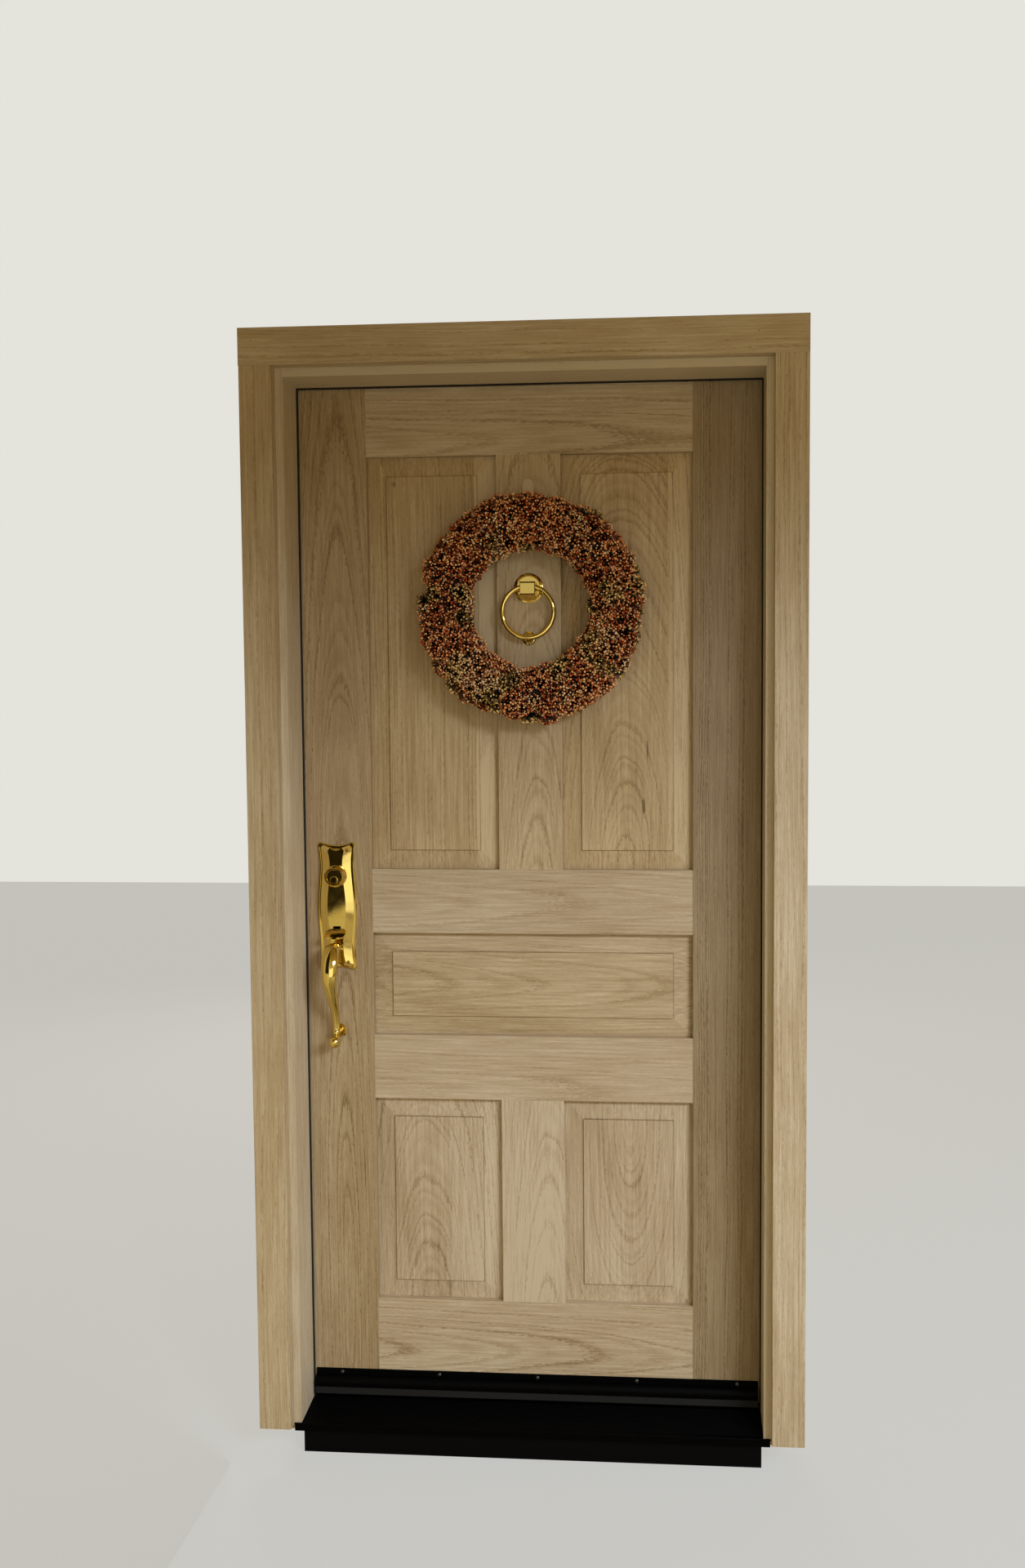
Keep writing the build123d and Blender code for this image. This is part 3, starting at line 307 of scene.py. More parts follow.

# %% [markdown]
# ## Weathered white oak
# The finish adds up the tone of the wood from streaks, patches, pores and growth lines, and a
# colour ramp turns the tone into the grey browns of weathered oak. Long thin noise gives the open
# pores that a clear matt coat leaves in sight. The tint and the lift set one board against the
# next: partly as boards from different trees differ, and partly as painted light and shade, for
# the light on the jambs and the shade that the hinge jamb casts on the hinge stile.

# %% Oak
OAK_STOPS = ((0.0, "75603F"), (0.30, "97805D"), (0.55, "AE9776"), (0.80, "BDA98A"), (1.0, "CCBB9E"))
FRAME_STOPS = ((0.0, "80694A"), (0.30, "9E8664"), (0.55, "B49E7B"), (0.80, "C2AF8E"), (1.0, "CFC0A3"))
PINE_STOPS = ((0, "A98656"), (0.5, "C7A878"), (1, "D9C094"))
PORE_CELLS = (700.0, 700.0, 62.0)
STREAK_CELLS = (230.0, 230.0, 9.0)
PATCH_CELLS = (11.0, 11.0, 2.6)
BASE_TONE = -0.20
STREAK_WEIGHT = 0.86
PATCH_WEIGHT = 0.74
PORE_WEIGHT = 0.40
LINE_WEIGHT = -0.42
OAK_ROUGHNESS = 0.52
PORE_DEPTH = 0.4 * MM
PORE_RELIEF = 0.35
NO_JOINT = 9.0


def oak(name, across, flat=False, heart_depth=0.05, lean=0.02, ring=4.6 * MM, origin=0.0,
        stops=OAK_STOPS, contrast=1.0, tint="FFFFFF", joint=NO_JOINT, beyond=0.1, glow=0.0, lift=0.0,
        marks=(), field=None):
    """Clear-coated weathered oak with the grain upright, or level if flat.

    across is where the heart lies across the board, heart_depth how far behind the face, and lean
    how fast it moves away along the board, from the place called origin. Beyond the glue joint the
    heart lies further off and the wood is lighter by glow, a painted highlight for the light on the
    bevel there. The whole board is lighter by lift and coloured by tint, which is partly the board's
    own tone and partly painted light and shade.
    """
    material, tree, output = new_material(name)
    place = own_place(tree)
    axes = split(tree, place)
    if flat:
        swapped = {"X": axes["Z"], "Y": axes["Y"], "Z": axes["X"]}
        place = add(tree, "ShaderNodeCombineXYZ", swapped).outputs[0]
        axes = split(tree, place)
    stave = calc(tree, "GREATER_THAN", axes["X"], joint)
    jump = calc(tree, "MULTIPLY", stave, beyond)
    away = add(tree, "ShaderNodeCombineXYZ", {"X": jump, "Z": jump}).outputs[0]
    point = vector(tree, "ADD", vector(tree, "ADD", place, away), (-across, 0, -origin))
    pores = noise(tree, point, PORE_CELLS)
    dark = growth_lines(tree, point, pores, ring, lean, heart_depth)

    streaks = noise(tree, point, STREAK_CELLS, 3.0)
    patches = noise(tree, point, PATCH_CELLS, 3.0)
    tone = calc(tree, "MULTIPLY_ADD", streaks, STREAK_WEIGHT, lift + BASE_TONE)
    tone = calc(tree, "MULTIPLY_ADD", patches, PATCH_WEIGHT, tone)
    tone = calc(tree, "MULTIPLY_ADD", pores, PORE_WEIGHT, tone)
    tone = calc(tree, "MULTIPLY_ADD", dark, LINE_WEIGHT * contrast, tone)
    # painted highlight: beyond the joint the wood is lighter by glow, for the light on the bevel
    tone = calc(tree, "MULTIPLY_ADD", stave, glow, tone)
    tone = darken_marks(tree, tone, place, marks)
    if field:
        # painted shadow of the raised field's step
        tone = paint_step_shadow(tree, tone, place, field)

    ramp = add(tree, "ShaderNodeValToRGB", {"Fac": tone})
    set_stops(ramp, stops)
    stained = add(tree, "ShaderNodeMix", {0: 1.0, 6: ramp.outputs["Color"], 7: colour(tint)},
                  data_type="RGBA", blend_type="MULTIPLY")
    relief = add(tree, "ShaderNodeBump",
                 {"Height": pores, "Strength": PORE_RELIEF, "Distance": PORE_DEPTH})
    surface(tree, output, {"Base Color": stained.outputs[2], "Roughness": OAK_ROUGHNESS, "IOR": 1.5,
                           "Normal": relief.outputs["Normal"]})
    return material


print("ramp stops", len(OAK_STOPS))

# %% [markdown]
# ## Every board from its own tree
# The tables below give each board its own heart, read from the figure in the photograph: arches
# or lines, fine or wide, pale or deep. Places are in metres in the model's coordinates, with x
# from the middle of the door. In a level board, across runs upwards and along runs to the right.

# %% Boards
UPRIGHT_BOARDS = {
    "lock_stile": dict(across=-0.372, heart_depth=0.035, lean=0.055, ring=3.6 * MM, origin=0.9,
                       contrast=1.5, tint="E8E0D0"),
    # the hinge stile's dark tint is partly painted shade, for the shadow of the hinge jamb
    "hinge_stile": dict(across=0.60, ring=4.0 * MM, contrast=1.4, tint="CFC9BC"),
    "upper_mullion": dict(across=0.012, lean=0.10, origin=1.25, contrast=1.3, tint="FFFBF0"),
    "lower_mullion": dict(across=0.03, lean=0.10, ring=5.0 * MM, origin=0.5, lift=0.18),
    # glow beyond the joint in these panels is a painted highlight on the bevel that faces the light
    "upper_left_panel": dict(across=-0.42, joint=-0.106, beyond=-0.35, glow=0.24, tint="FFF8E6",
                             marks=((-0.2615, 1.8455, 4 * MM, 7 * MM, 0.5),)),
    "upper_right_panel": dict(across=0.185, heart_depth=0.032, lean=0.20, ring=5.0 * MM, origin=1.22,
                              contrast=1.2, tint="FFF8E6", joint=0.268, beyond=0.3, glow=0.12,
                              marks=((0.220, 1.221, 3.4 * MM, 17 * MM, 1.3),
                                     (0.2275, 1.330, 2 * MM, 24 * MM, 0.7))),
    "lower_left_panel": dict(across=-0.212, heart_depth=0.035, lean=0.19, ring=5.6 * MM, origin=0.28,
                             contrast=1.2, joint=-0.165, beyond=0.03, glow=0.12),
    "lower_right_panel": dict(across=0.190, heart_depth=0.035, lean=-0.24, ring=5.6 * MM, origin=0.42),
}
LEVEL_BOARDS = {
    "top_rail": dict(across=1.925, lean=0.03, ring=6.0 * MM, contrast=1.3),
    "lock_rail": dict(across=1.03, lean=0.04, ring=5.6 * MM, contrast=0.7),
    "middle_panel": dict(across=0.872, heart_depth=0.035, lean=0.06, ring=5.2 * MM, origin=-0.3,
                         contrast=0.9, tint="FFFCF4"),
    "middle_rail": dict(across=0.66, lean=0.03, ring=5.6 * MM, contrast=0.7),
    "bottom_rail": dict(across=0.13, lean=0.06, ring=6.0 * MM, contrast=1.3),
}
FRAME_BOARDS = {
    "left_casing": dict(across=-0.60, lean=0.015, ring=4.2 * MM, tint="F6F2EA",
                        marks=(nail(-0.550, 2.034, 0.6),)),
    "right_casing": dict(across=0.62, ring=4.4 * MM),
    # lift on the three jambs is painted light, for the light that falls on their faces
    "strike_jamb": dict(across=-0.52, heart_depth=0.12, lean=0.01, ring=4.2 * MM, lift=0.12),
    "hinge_jamb": dict(across=0.55, heart_depth=0.12, lean=0.01, ring=4.2 * MM, lift=0.28),
    "head_casing": dict(across=2.16, flat=True, marks=(
        nail(2.090, -0.499, 0.5), nail(2.142, -0.459, 0.5), nail(2.085, 0.432, 0.6))),
    "head_jamb": dict(across=2.10, flat=True, heart_depth=0.12, lean=0.01, ring=4.2 * MM, lift=0.32),
}

for board, figure in UPRIGHT_BOARDS.items():
    dress(oak("weathered_oak_" + board, field=raised_field(board), **figure), board)
for board, figure in LEVEL_BOARDS.items():
    field = raised_field(board, flat=True)
    dress(oak("weathered_oak_" + board, flat=True, field=field, **figure), board)
for board, figure in FRAME_BOARDS.items():
    dress(oak("weathered_oak_" + board, stops=FRAME_STOPS, **figure), board)
dress(oak("sawn_pine", across=-1.0, flat=True, stops=PINE_STOPS), "sill_core")
print("oak boards", len(UPRIGHT_BOARDS) + len(LEVEL_BOARDS) + len(FRAME_BOARDS))

# %% [markdown]
# ## Polished brass
# The handle set and the knocker are cast brass, polished and lacquered. Polished metal has hardly
# any colour of its own: it shows what stands around it. So the finish is simple, with a low
# roughness and faint hand marks, and the interest comes from the lights and the dark porch.

# %% Brass
BRASS_ROUGHNESS = 0.07
SATIN_ROUGHNESS = 0.28
SMUDGE = 14 * MM
SMUDGE_RANGE = (0.3, 0.75)
SHINIEST = 0.7
DULLEST = 1.6
RIPPLE_DEPTH = 0.5 * MM
RIPPLE_RELIEF = 0.10


def brass(name, code, roughness):
    """Lacquered brass with soft hand marks, which make it shinier here and duller there."""
    material, tree, output = new_material(name)
    marks = add(tree, "ShaderNodeTexNoise", {"Vector": own_place(tree), "Scale": 1 / SMUDGE, "Detail": 4.0})
    gloss = add(tree, "ShaderNodeMapRange",
                {"Value": marks.outputs["Fac"], "From Min": SMUDGE_RANGE[0], "From Max": SMUDGE_RANGE[1],
                 "To Min": roughness * SHINIEST, "To Max": roughness * DULLEST})
    ripple = add(tree, "ShaderNodeBump",
                 {"Height": marks.outputs["Fac"], "Strength": RIPPLE_RELIEF, "Distance": RIPPLE_DEPTH})
    surface(tree, output, {"Base Color": colour(code), "Metallic": 1.0, "Roughness": gloss.outputs[0],
                           "Normal": ripple.outputs["Normal"]})
    return material


polished_brass = brass("lacquered_polished_brass", "E9D07C", BRASS_ROUGHNESS)
satin_brass = brass("satin_brass", "E6CB84", SATIN_ROUGHNESS)
dress(polished_brass, "handle_plate", "cylinder_collar", "thumb_piece", "grip_handle", "grip_foot",
      "knocker_plate", "knocker_ring", "knocker_stud", "turn_rose", "turn_piece", "knob_rose",
      "interior_knob", "key_plug")
dress(satin_brass, "plate_screws", "deadbolt_case", "latch_case", "deadbolt_bolt", "latch_bolt",
      "deadbolt_strike", "latch_strike", "hinge_pins", "hinge_leaf_screws", "jamb_screws")
for place in ("top", "middle", "bottom"):
    dress(satin_brass, place + "_hinge_jamb_plate", place + "_hinge_leaf_plate")
print("brass", polished_brass.name, satin_brass.name)

# %% [markdown]
# ## Black sill, sweep and seals
# The sill is extruded aluminium with a black anodised skin, which is a hard, even, slightly satin
# film. The drip sweep over it is the same. Seals are skinned foam, softer and duller than metal.

# %% Black parts
GRAIN_RELIEF = 0.4


def plain(name, code, roughness, metallic=0.0, grain=2 * MM, relief=0.05 * MM, gloss=0.5):
    """A one-colour surface with a fine grain in its relief."""
    material, tree, output = new_material(name)
    speck = add(tree, "ShaderNodeTexNoise",
                {"Vector": own_place(tree), "Scale": 1 / grain, "Detail": 2.0})
    bump = add(tree, "ShaderNodeBump",
               {"Height": speck.outputs["Fac"], "Strength": GRAIN_RELIEF, "Distance": relief})
    surface(tree, output, {"Base Color": colour(code), "Metallic": metallic, "Roughness": roughness,
                           "Specular IOR Level": gloss, "Normal": bump.outputs["Normal"]})
    return material


dress(plain("black_anodised_aluminium", "020203", 0.45, gloss=0.05), "sill_tread", "door_sweep")
dress(plain("black_painted_board", "020203", 0.6, gloss=0.1), "sill_apron", "threshold_cap")
dress(plain("zinc_plated_steel", "5E5E5C", 0.5, metallic=1.0), "sweep_screws")
dress(plain("black_skinned_foam", "15110E", 0.8),
      "head_weatherstrip", "hinge_weatherstrip", "strike_weatherstrip")
dress(plain("black_rubber", "0B0B0B", 0.7), "sweep_fin")
print("black parts dressed")

# %% [markdown]
# ## Clear hook
# The wreath hangs from a strip of clear moulded plastic stuck to the mullion. It reads as a pale
# veil over the wood behind, so it is made partly see-through.

# %% Clear hook
HOOK_OPACITY = 0.6

clear, tree, output = new_material("clear_moulded_polystyrene")
surface(tree, output, {"Base Color": colour("FFEAC0"), "Roughness": 0.25, "IOR": 1.45,
                       "Alpha": HOOK_OPACITY})
dress(clear, "wreath_hook")
print("hook opacity", HOOK_OPACITY)

# %% [markdown]
# ## The wreath's core
# The wreath is a ring of many small seed heads on a twig core. The core is hardly seen, and it is
# made near black and rough: its colour is partly the twigs' own and partly painted shade for the
# deep gaps between the heads, which look black in the photograph. It is made from a copy of the
# CAD ring, drawn in so that the heads can stand out from it.

# %% Core
CORE_INSET = 17 * MM
MERGE_DISTANCE = 0.02 * MM


def drawn_in_copy(source, name, inset):
    """A copy of a CAD node with its loose triangles joined and its skin moved inwards."""
    mesh = source.data.copy()
    copy = bpy.data.objects.new(name, mesh)
    bpy.context.scene.collection.objects.link(copy)
    work = bmesh.new()
    work.from_mesh(mesh)
    bmesh.ops.remove_doubles(work, verts=work.verts, dist=MERGE_DISTANCE)
    work.normal_update()
    for vertex in work.verts:
        vertex.co -= vertex.normal * inset
    work.to_mesh(mesh)
    work.free()
    return copy


core = drawn_in_copy(nodes["wreath"], "wreath_core", CORE_INSET)
core.data.materials.clear()
# near-black core: twig colour and painted shade for the gaps between the seed heads
core.data.materials.append(plain("twig_moss_and_painted_gap_shade", "0E0906", 0.9, grain=3 * MM, relief=1.5 * MM))
print("core faces", len(core.data.polygons))

# %% [markdown]
# ## One seed head
# Each seed head is an umbel: stalks that leave one point and end in seeds on a dome. Geometry
# Nodes suit this well. The upper points of a ball become the stalk ends, a small random shift
# keeps them from looking drilled, and each gets a seed and a stalk. A named attribute stores how
# dark each seed is, for the finish to read, and marks the stalks with a value below zero.

# %% Seed head nodes
HEAD_RADIUS = 20 * MM
SEED_RADIUS = 1.9 * MM
SEED_SIZES = (0.75, 1.3)
STALK_RADIUS = 0.55 * MM
STALK_TONE = -1.0
DOME_FLOOR = 1.5 * MM
LOOSENESS = 2.2 * MM


def chance(tree, low, high, seed):
    """A random number per point, from low to high."""
    draw = add(tree, "FunctionNodeRandomValue", {2: low, 3: high, "Seed": seed}, data_type="FLOAT")
    return draw.outputs[1]


def chance_vector(tree, low, high, seed):
    """A random vector per point, from low to high."""
    draw = add(tree, "FunctionNodeRandomValue", {0: low, 1: high, "Seed": seed},
               data_type="FLOAT_VECTOR")
    return draw.outputs[0]


def compare(tree, operation, value, limit):
    """Whether a value lies on one side of a limit."""
    test = add(tree, "FunctionNodeCompare", {0: value, 1: limit}, data_type="FLOAT", operation=operation)
    return test.outputs[0]


def position(tree):
    """The place of each point."""
    return add(tree, "GeometryNodeInputPosition").outputs[0]


def store(tree, instances, name, value):
    """Instances that carry a named number."""
    kept = add(tree, "GeometryNodeStoreNamedAttribute",
               {"Geometry": instances, "Name": name, "Value": value},
               data_type="FLOAT", domain="INSTANCE")
    return kept.outputs[0]


def one_seed_head(tree, given):
    """A single head as an instance: a dome of seeds and the stalks under them."""
    dome = add(tree, "GeometryNodeMeshIcoSphere", {"Radius": given["Head radius"], "Subdivisions": 3})
    raised = compare(tree, "GREATER_THAN", split(tree, position(tree))["Z"], DOME_FLOOR)
    ends = add(tree, "GeometryNodeMeshToPoints", {"Mesh": dome.outputs["Mesh"], "Selection": raised})
    jitter = chance_vector(tree, (-LOOSENESS,) * 3, (LOOSENESS,) * 3, 8)
    loose = add(tree, "GeometryNodeSetPosition", {"Geometry": ends.outputs[0], "Offset": jitter})
    seed = add(tree, "GeometryNodeMeshIcoSphere", {"Radius": given["Seed radius"], "Subdivisions": 1})
    seeds = add(tree, "GeometryNodeInstanceOnPoints",
                {"Points": loose.outputs[0], "Instance": seed.outputs["Mesh"],
                 "Scale": chance(tree, *SEED_SIZES, 9)})
    toned = store(tree, seeds.outputs[0], "seed_tone", chance(tree, 0.0, 1.0, 10))

    half = vector(tree, "MULTIPLY", position(tree), (0.5, 0.5, 0.5))
    middles = add(tree, "GeometryNodeSetPosition", {"Geometry": loose.outputs[0], "Position": half})
    along = add(tree, "FunctionNodeAlignRotationToVector", {"Vector": position(tree)}, axis="Z")
    stalk = add(tree, "GeometryNodeMeshCylinder",
                {"Vertices": 3, "Radius": given["Stalk radius"], "Depth": given["Head radius"]})
    stalks = add(tree, "GeometryNodeInstanceOnPoints",
                 {"Points": middles.outputs[0], "Instance": stalk.outputs["Mesh"],
                  "Rotation": along.outputs[0]})
    dull = store(tree, stalks.outputs[0], "seed_tone", STALK_TONE)
    head = add(tree, "GeometryNodeJoinGeometry")
    tree.links.new(dull, head.inputs[0])
    tree.links.new(toned, head.inputs[0])
    whole = add(tree, "GeometryNodeGeometryToInstance")
    tree.links.new(head.outputs[0], whole.inputs[0])
    return whole.outputs[0]


print("seed of", SEED_RADIUS / MM, "mm")

# %% [markdown]
# ## Heads all over the wreath
# One node tree scatters points over the core at a least distance and puts a head on each, turned
# and sized at random. Four pieces share the same points. Every point draws a number from slow
# noise and a little luck, and each piece takes its own range of it, so the colours lie in patches.

# %% Wreath tree
HEAD_SPACING = 18.5 * MM
HEAD_SIZES = (0.82, 1.15)
HEAD_TILT = 0.25
DENSEST = 9000.0
BACK_LIMIT = -18 * MM
PATCH_SIZE = 75 * MM
PATCH_SHARE = 0.6
PATCH_RANGE = (0.3, 0.7)


def in_range(tree, given):
    """Whether a point's draw falls in the range that this piece takes."""
    drift = add(tree, "ShaderNodeTexNoise", {"Scale": 1 / PATCH_SIZE, "Detail": 1.0}).outputs["Fac"]
    patch = add(tree, "ShaderNodeMapRange",
                {"Value": drift, "From Min": PATCH_RANGE[0], "From Max": PATCH_RANGE[1]}).outputs[0]
    luck = chance(tree, 0.0, 1.0 - PATCH_SHARE, 11)
    draw = calc(tree, "MULTIPLY_ADD", patch, PATCH_SHARE, luck)
    over = compare(tree, "GREATER_EQUAL", draw, given["Pick from"])
    under = compare(tree, "LESS_THAN", draw, given["Pick to"])
    return add(tree, "FunctionNodeBooleanMath", {0: over, 1: under}, operation="AND").outputs[0]


def seed_head_tree():
    """Geometry Nodes tree that covers the front of a surface with seed heads."""
    tree = bpy.data.node_groups.new("seed_heads", "GeometryNodeTree")
    tree.interface.new_socket(name="Geometry", in_out="INPUT", socket_type="NodeSocketGeometry")
    for name in ("Head spacing", "Head radius", "Seed radius", "Stalk radius", "Pick from", "Pick to"):
        tree.interface.new_socket(name=name, in_out="INPUT", socket_type="NodeSocketFloat")
    tree.interface.new_socket(name="Finish", in_out="INPUT", socket_type="NodeSocketMaterial")
    tree.interface.new_socket(name="Geometry", in_out="OUTPUT", socket_type="NodeSocketGeometry")
    given = add(tree, "NodeGroupInput").outputs

    front = compare(tree, "LESS_THAN", split(tree, position(tree))["Y"], BACK_LIMIT)
    scatter = add(tree, "GeometryNodeDistributePointsOnFaces",
                  {"Mesh": given["Geometry"], "Selection": front, "Distance Min": given["Head spacing"],
                   "Density Max": DENSEST, "Seed": 4}, distribute_method="POISSON")
    spin = chance_vector(tree, (-HEAD_TILT, -HEAD_TILT, 0.0), (HEAD_TILT, HEAD_TILT, 2 * pi), 12)
    turned = add(tree, "FunctionNodeEulerToRotation", {0: spin})
    rotation = add(tree, "FunctionNodeRotateRotation",
                   {0: scatter.outputs["Rotation"], 1: turned.outputs[0]}, rotation_space="LOCAL")
    heads = add(tree, "GeometryNodeInstanceOnPoints",
                {"Points": scatter.outputs["Points"], "Selection": in_range(tree, given),
                 "Instance": one_seed_head(tree, given), "Rotation": rotation.outputs[0],
                 "Scale": chance(tree, *HEAD_SIZES, 13)})
    shaded = store(tree, heads.outputs[0], "head_tone", chance(tree, 0.0, 1.0, 14))
    solid = add(tree, "GeometryNodeRealizeInstances", {0: shaded})
    finished = add(tree, "GeometryNodeSetMaterial",
                   {"Geometry": solid.outputs[0], "Material": given["Finish"]})
    result = add(tree, "NodeGroupOutput")
    tree.links.new(finished.outputs[0], result.inputs[0])
    return tree


seed_heads = seed_head_tree()
print("tree nodes", len(seed_heads.nodes))

# %% [markdown]
# ## Waxy seeds in three finishes
# The seeds are moulded foam with a waxy coat. The tone of a seed and of its head were stored as
# attributes above, and the finish reads them: most of the tone is the seed's own, and a part is
# shared by its whole head. One function makes all three finishes, each with its own hex colours.

# %% Seed finishes
SEED_WEIGHT = 0.92
HEAD_WEIGHT = 0.34
SEED_BASE_TONE = -0.10
STALK_BELOW = -0.5
DARK_UP_TO = 0.20
MID_FROM = 0.42
MID_UP_TO = 0.52
PALE_FROM = 0.74
SEED_ROUGHNESS = 0.42


def seed_finish(name, dark, mid, pale, stalk):
    """Waxy moulded foam whose tone varies from seed to seed and from head to head."""
    material, tree, output = new_material(name)
    seed_tone = add(tree, "ShaderNodeAttribute", attribute_name="seed_tone").outputs["Fac"]
    head_tone = add(tree, "ShaderNodeAttribute", attribute_name="head_tone").outputs["Fac"]
    shared = calc(tree, "MULTIPLY_ADD", head_tone, HEAD_WEIGHT, SEED_BASE_TONE)
    tone = calc(tree, "MULTIPLY_ADD", seed_tone, SEED_WEIGHT, shared)
    ramp = add(tree, "ShaderNodeValToRGB", {"Fac": tone})
    set_stops(ramp, ((DARK_UP_TO, dark), (MID_FROM, mid), (MID_UP_TO, mid), (PALE_FROM, pale)))
    is_seed = calc(tree, "GREATER_THAN", seed_tone, STALK_BELOW)
    paint = add(tree, "ShaderNodeMix", {0: is_seed, 6: colour(stalk), 7: ramp.outputs["Color"]},
                data_type="RGBA")
    surface(tree, output, {"Base Color": paint.outputs[2], "Roughness": SEED_ROUGHNESS, "IOR": 1.45})
    return material


RUST = seed_finish("waxy_foam_rust", "460A02", "C2521A", "FFC484", "140805")
PEACH = seed_finish("waxy_foam_peach", "4E1405", "CE7630", "FFDCA8", "180D06")
OLIVE = seed_finish("waxy_foam_olive", "2A1806", "947028", "F4CE88", "141008")
HEAD_COLOURS = {
    "red_seed_heads": (0.0, 0.38, RUST),
    "rust_seed_heads": (0.38, 0.52, RUST),
    "peach_seed_heads": (0.52, 0.68, PEACH),
    "olive_seed_heads": (0.68, 1.0, OLIVE),
}


def grow(name, pick_from, pick_to, finish):
    """The seed heads of one range of draws, as a plain mesh."""
    host = bpy.data.objects.new(name + "_host", core.data)
    bpy.context.scene.collection.objects.link(host)
    modifier = host.modifiers.new("heads", "NODES")
    modifier.node_group = seed_heads
    values = {"Head spacing": HEAD_SPACING, "Head radius": HEAD_RADIUS, "Seed radius": SEED_RADIUS,
              "Stalk radius": STALK_RADIUS, "Pick from": pick_from, "Pick to": pick_to,
              "Finish": finish}
    for item in seed_heads.interface.items_tree:
        if item.in_out == "INPUT" and item.name in values:
            modifier[item.identifier] = values[item.name]
    bpy.context.view_layer.update()
    graph = bpy.context.evaluated_depsgraph_get()
    shown = host.evaluated_get(graph)
    mesh = bpy.data.meshes.new_from_object(shown, preserve_all_data_layers=True, depsgraph=graph)
    bpy.data.objects.remove(host)
    mesh.name = name
    for face in mesh.polygons:
        face.use_smooth = True
    piece = bpy.data.objects.new(name, mesh)
    bpy.context.scene.collection.objects.link(piece)
    return piece


grown = [grow(name, *how) for name, how in HEAD_COLOURS.items()]
for piece in (core, *grown):
    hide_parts("wreath")
    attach(piece, "leaf")
    print(piece.name, len(piece.data.polygons))

# %% [markdown]
# ## Floor and porch
# The door stands in a porch: the ceiling keeps the light off the top of the door, and pale yellow
# walls throw a warm light back. The studio does the same with flat cards that the camera doesn't
# see. One plays the ceiling and one the wall at the left. A dark card at the left and a bright
# one in front are there for the brass, which would look flat with nothing to mirror. The floor
# shows its own even pale tone to the camera, and a duller, warmer one to the light.

# %% Porch
FLOOR_LEVEL = cad_low.z - 1 * MM
FLOOR_REACH = 8.0
FLOOR_GLOW = 0.74
CEILING = 2.25
CEILING_LEFT = -1.3
CEILING_RIGHT = 3.0
CEILING_FRONT = -1.9
CEILING_BACK = -0.16
WALL_PLACE = -0.575
WALL_FRONT = -2.6
WALL_BACK = -0.13
WINDOW_FRONT = -1.7
WINDOW_BACK = -0.33
WINDOW_FOOT = 0.91
WINDOW_TOP = 1.97
SKY_PLACE = -4.7
SKY_LEFT = -2.4
SKY_RIGHT = -0.1
SKY_FOOT = 1.8
SKY_TOP = 2.8
SKY_GLOW = 0.6


def card(name, corners, material, seen=False):
    """A flat studio surface, hidden from the camera unless seen."""
    mesh = bpy.data.meshes.new(name)
    mesh.from_pydata(corners, [], [tuple(range(len(corners)))])
    mesh.materials.append(material)
    panel = bpy.data.objects.new(name, mesh)
    bpy.context.scene.collection.objects.link(panel)
    panel.visible_camera = seen
    return panel


def level_corners(left, right, front, back, z):
    """The corners of a level rectangle."""
    return [(left, front, z), (right, front, z), (right, back, z), (left, back, z)]


def side_corners(x, front, back, foot, top):
    """The corners of an upright rectangle that stands square to the door."""
    return [(x, front, foot), (x, back, foot), (x, back, top), (x, front, top)]


def facing_corners(left, right, y, foot, top):
    """The corners of an upright rectangle that faces the door."""
    return [(left, y, foot), (right, y, foot), (right, y, top), (left, y, top)]


floor_paint, tree, output = new_material("pale_studio_floor")
pale = add(tree, "ShaderNodeBsdfDiffuse", {"Color": colour("5E5E5C")})
glow = add(tree, "ShaderNodeEmission", {"Color": colour("D6D6D2"), "Strength": FLOOR_GLOW})
lit = add(tree, "ShaderNodeAddShader", {0: pale.outputs[0], 1: glow.outputs[0]})
dull = add(tree, "ShaderNodeBsdfDiffuse", {"Color": colour("A69A80")})
seen = add(tree, "ShaderNodeLightPath").outputs["Is Camera Ray"]
pick = add(tree, "ShaderNodeMixShader", {0: seen, 1: dull.outputs[0], 2: lit.outputs[0]})
tree.links.new(pick.outputs[0], output.inputs["Surface"])
card("floor", level_corners(-FLOOR_REACH, FLOOR_REACH, -FLOOR_REACH, FLOOR_REACH, FLOOR_LEVEL),
     floor_paint, seen=True)
card("ceiling_card", level_corners(CEILING_LEFT, CEILING_RIGHT, CEILING_FRONT, CEILING_BACK, CEILING),
     plain("cream_card", "D8C083", 0.8))
card("wall_card", side_corners(WALL_PLACE, WALL_FRONT, WALL_BACK, FLOOR_LEVEL, CEILING),
     plain("cream_wall_card", "DCCFA2", 0.8))
card("window_card", side_corners(WALL_PLACE + 1 * MM, WINDOW_FRONT, WINDOW_BACK, WINDOW_FOOT, WINDOW_TOP),
     plain("dark_card", "2A2416", 0.9, gloss=0.0))

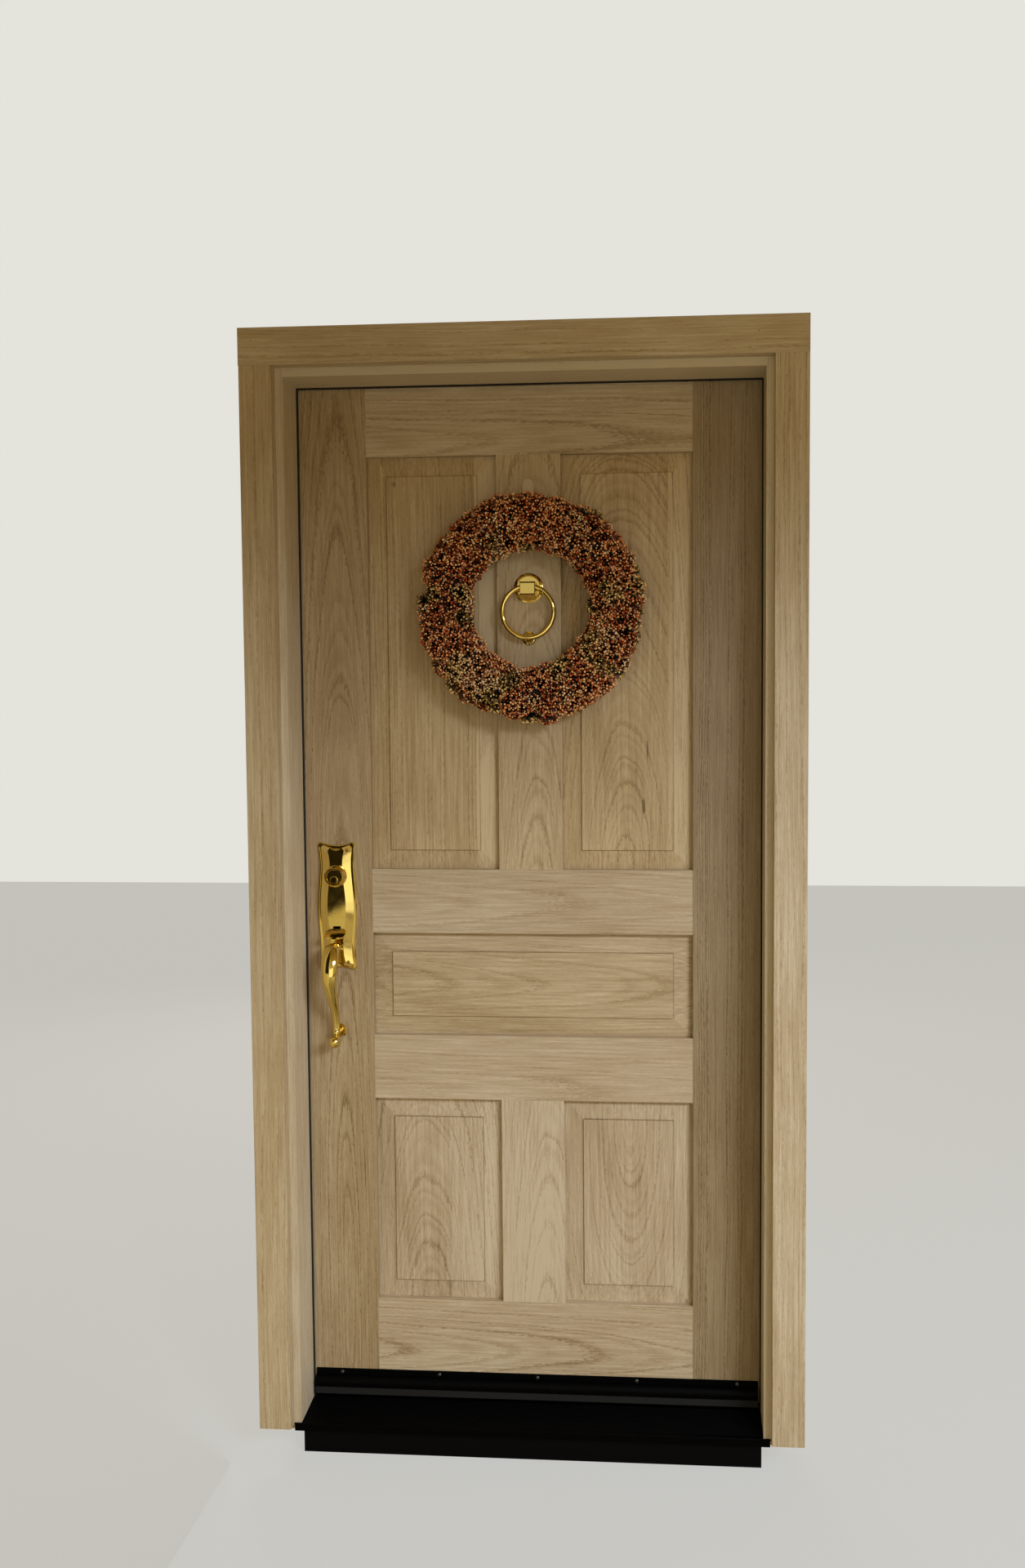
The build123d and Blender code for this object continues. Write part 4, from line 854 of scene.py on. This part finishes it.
bright, tree, output = new_material("bright_sky_card")
glow = add(tree, "ShaderNodeEmission", {"Color": colour("FFF6DC"), "Strength": SKY_GLOW})
tree.links.new(glow.outputs[0], output.inputs["Surface"])
mirrored = card("sky_card", facing_corners(SKY_LEFT, SKY_RIGHT, SKY_PLACE, SKY_FOOT, SKY_TOP), bright)
mirrored.visible_diffuse = False
mirrored.visible_shadow = False
print("floor at", round(FLOOR_LEVEL, 3))

# %% [markdown]
# ## Light
# Daylight comes in from the front and the right. A broad cool light stands high there, a weaker
# one lies low in front for the garden, and one behind the door lights the inner side, which only
# other views show. The surround gives a warm light from everywhere, and the camera sees a pale
# backdrop in its place.

# %% Light
SURROUND_STRENGTH = 0.45
LIGHTS = {
    "sky": dict(place=(3.1, -3.2, 3.0), target=(0, 0, 0.6), width=2.6, height=0.8,
                power=240, tint="E0ECFF"),
    "garden": dict(place=(1.0, -4.6, 1.0), target=(0, 0, 0.9), width=3.2, height=1.8,
                   power=18, tint="FBFBEE"),
    "room": dict(place=(-1.2, 3.6, 2.4), target=(0, 0, 1.1), width=2.0, height=1.4,
                 power=70, tint="FFF4E2"),
}


def light(name, place, target, width, height, power, tint):
    """A soft rectangular studio light that looks at its target."""
    data = bpy.data.lights.new(name, "AREA")
    data.shape = "RECTANGLE"
    data.size = width
    data.size_y = height
    data.energy = power
    data.color = colour(tint)[:3]
    lamp = bpy.data.objects.new(name, data)
    bpy.context.scene.collection.objects.link(lamp)
    lamp.location = place
    lamp.rotation_mode = "QUATERNION"
    lamp.rotation_quaternion = (Vector(target) - Vector(place)).to_track_quat("-Z", "Y")


world = bpy.data.worlds.new("studio")
world.use_nodes = True
tree = world.node_tree
surround = tree.nodes["Background"]
surround.inputs["Color"].default_value = colour("FFE3AC")
surround.inputs["Strength"].default_value = SURROUND_STRENGTH
backdrop = add(tree, "ShaderNodeBackground", {"Color": colour("E4E3DC"), "Strength": 1.0})
seen = add(tree, "ShaderNodeLightPath").outputs["Is Camera Ray"]
pick = add(tree, "ShaderNodeMixShader", {0: seen, 1: surround.outputs[0], 2: backdrop.outputs[0]})
tree.links.new(pick.outputs[0], tree.nodes["World Output"].inputs["Surface"])
bpy.context.scene.world = world
bpy.context.scene.view_settings.view_transform = "Standard"
for name, setting in LIGHTS.items():
    light(name, **setting)
print("lights", len(LIGHTS))
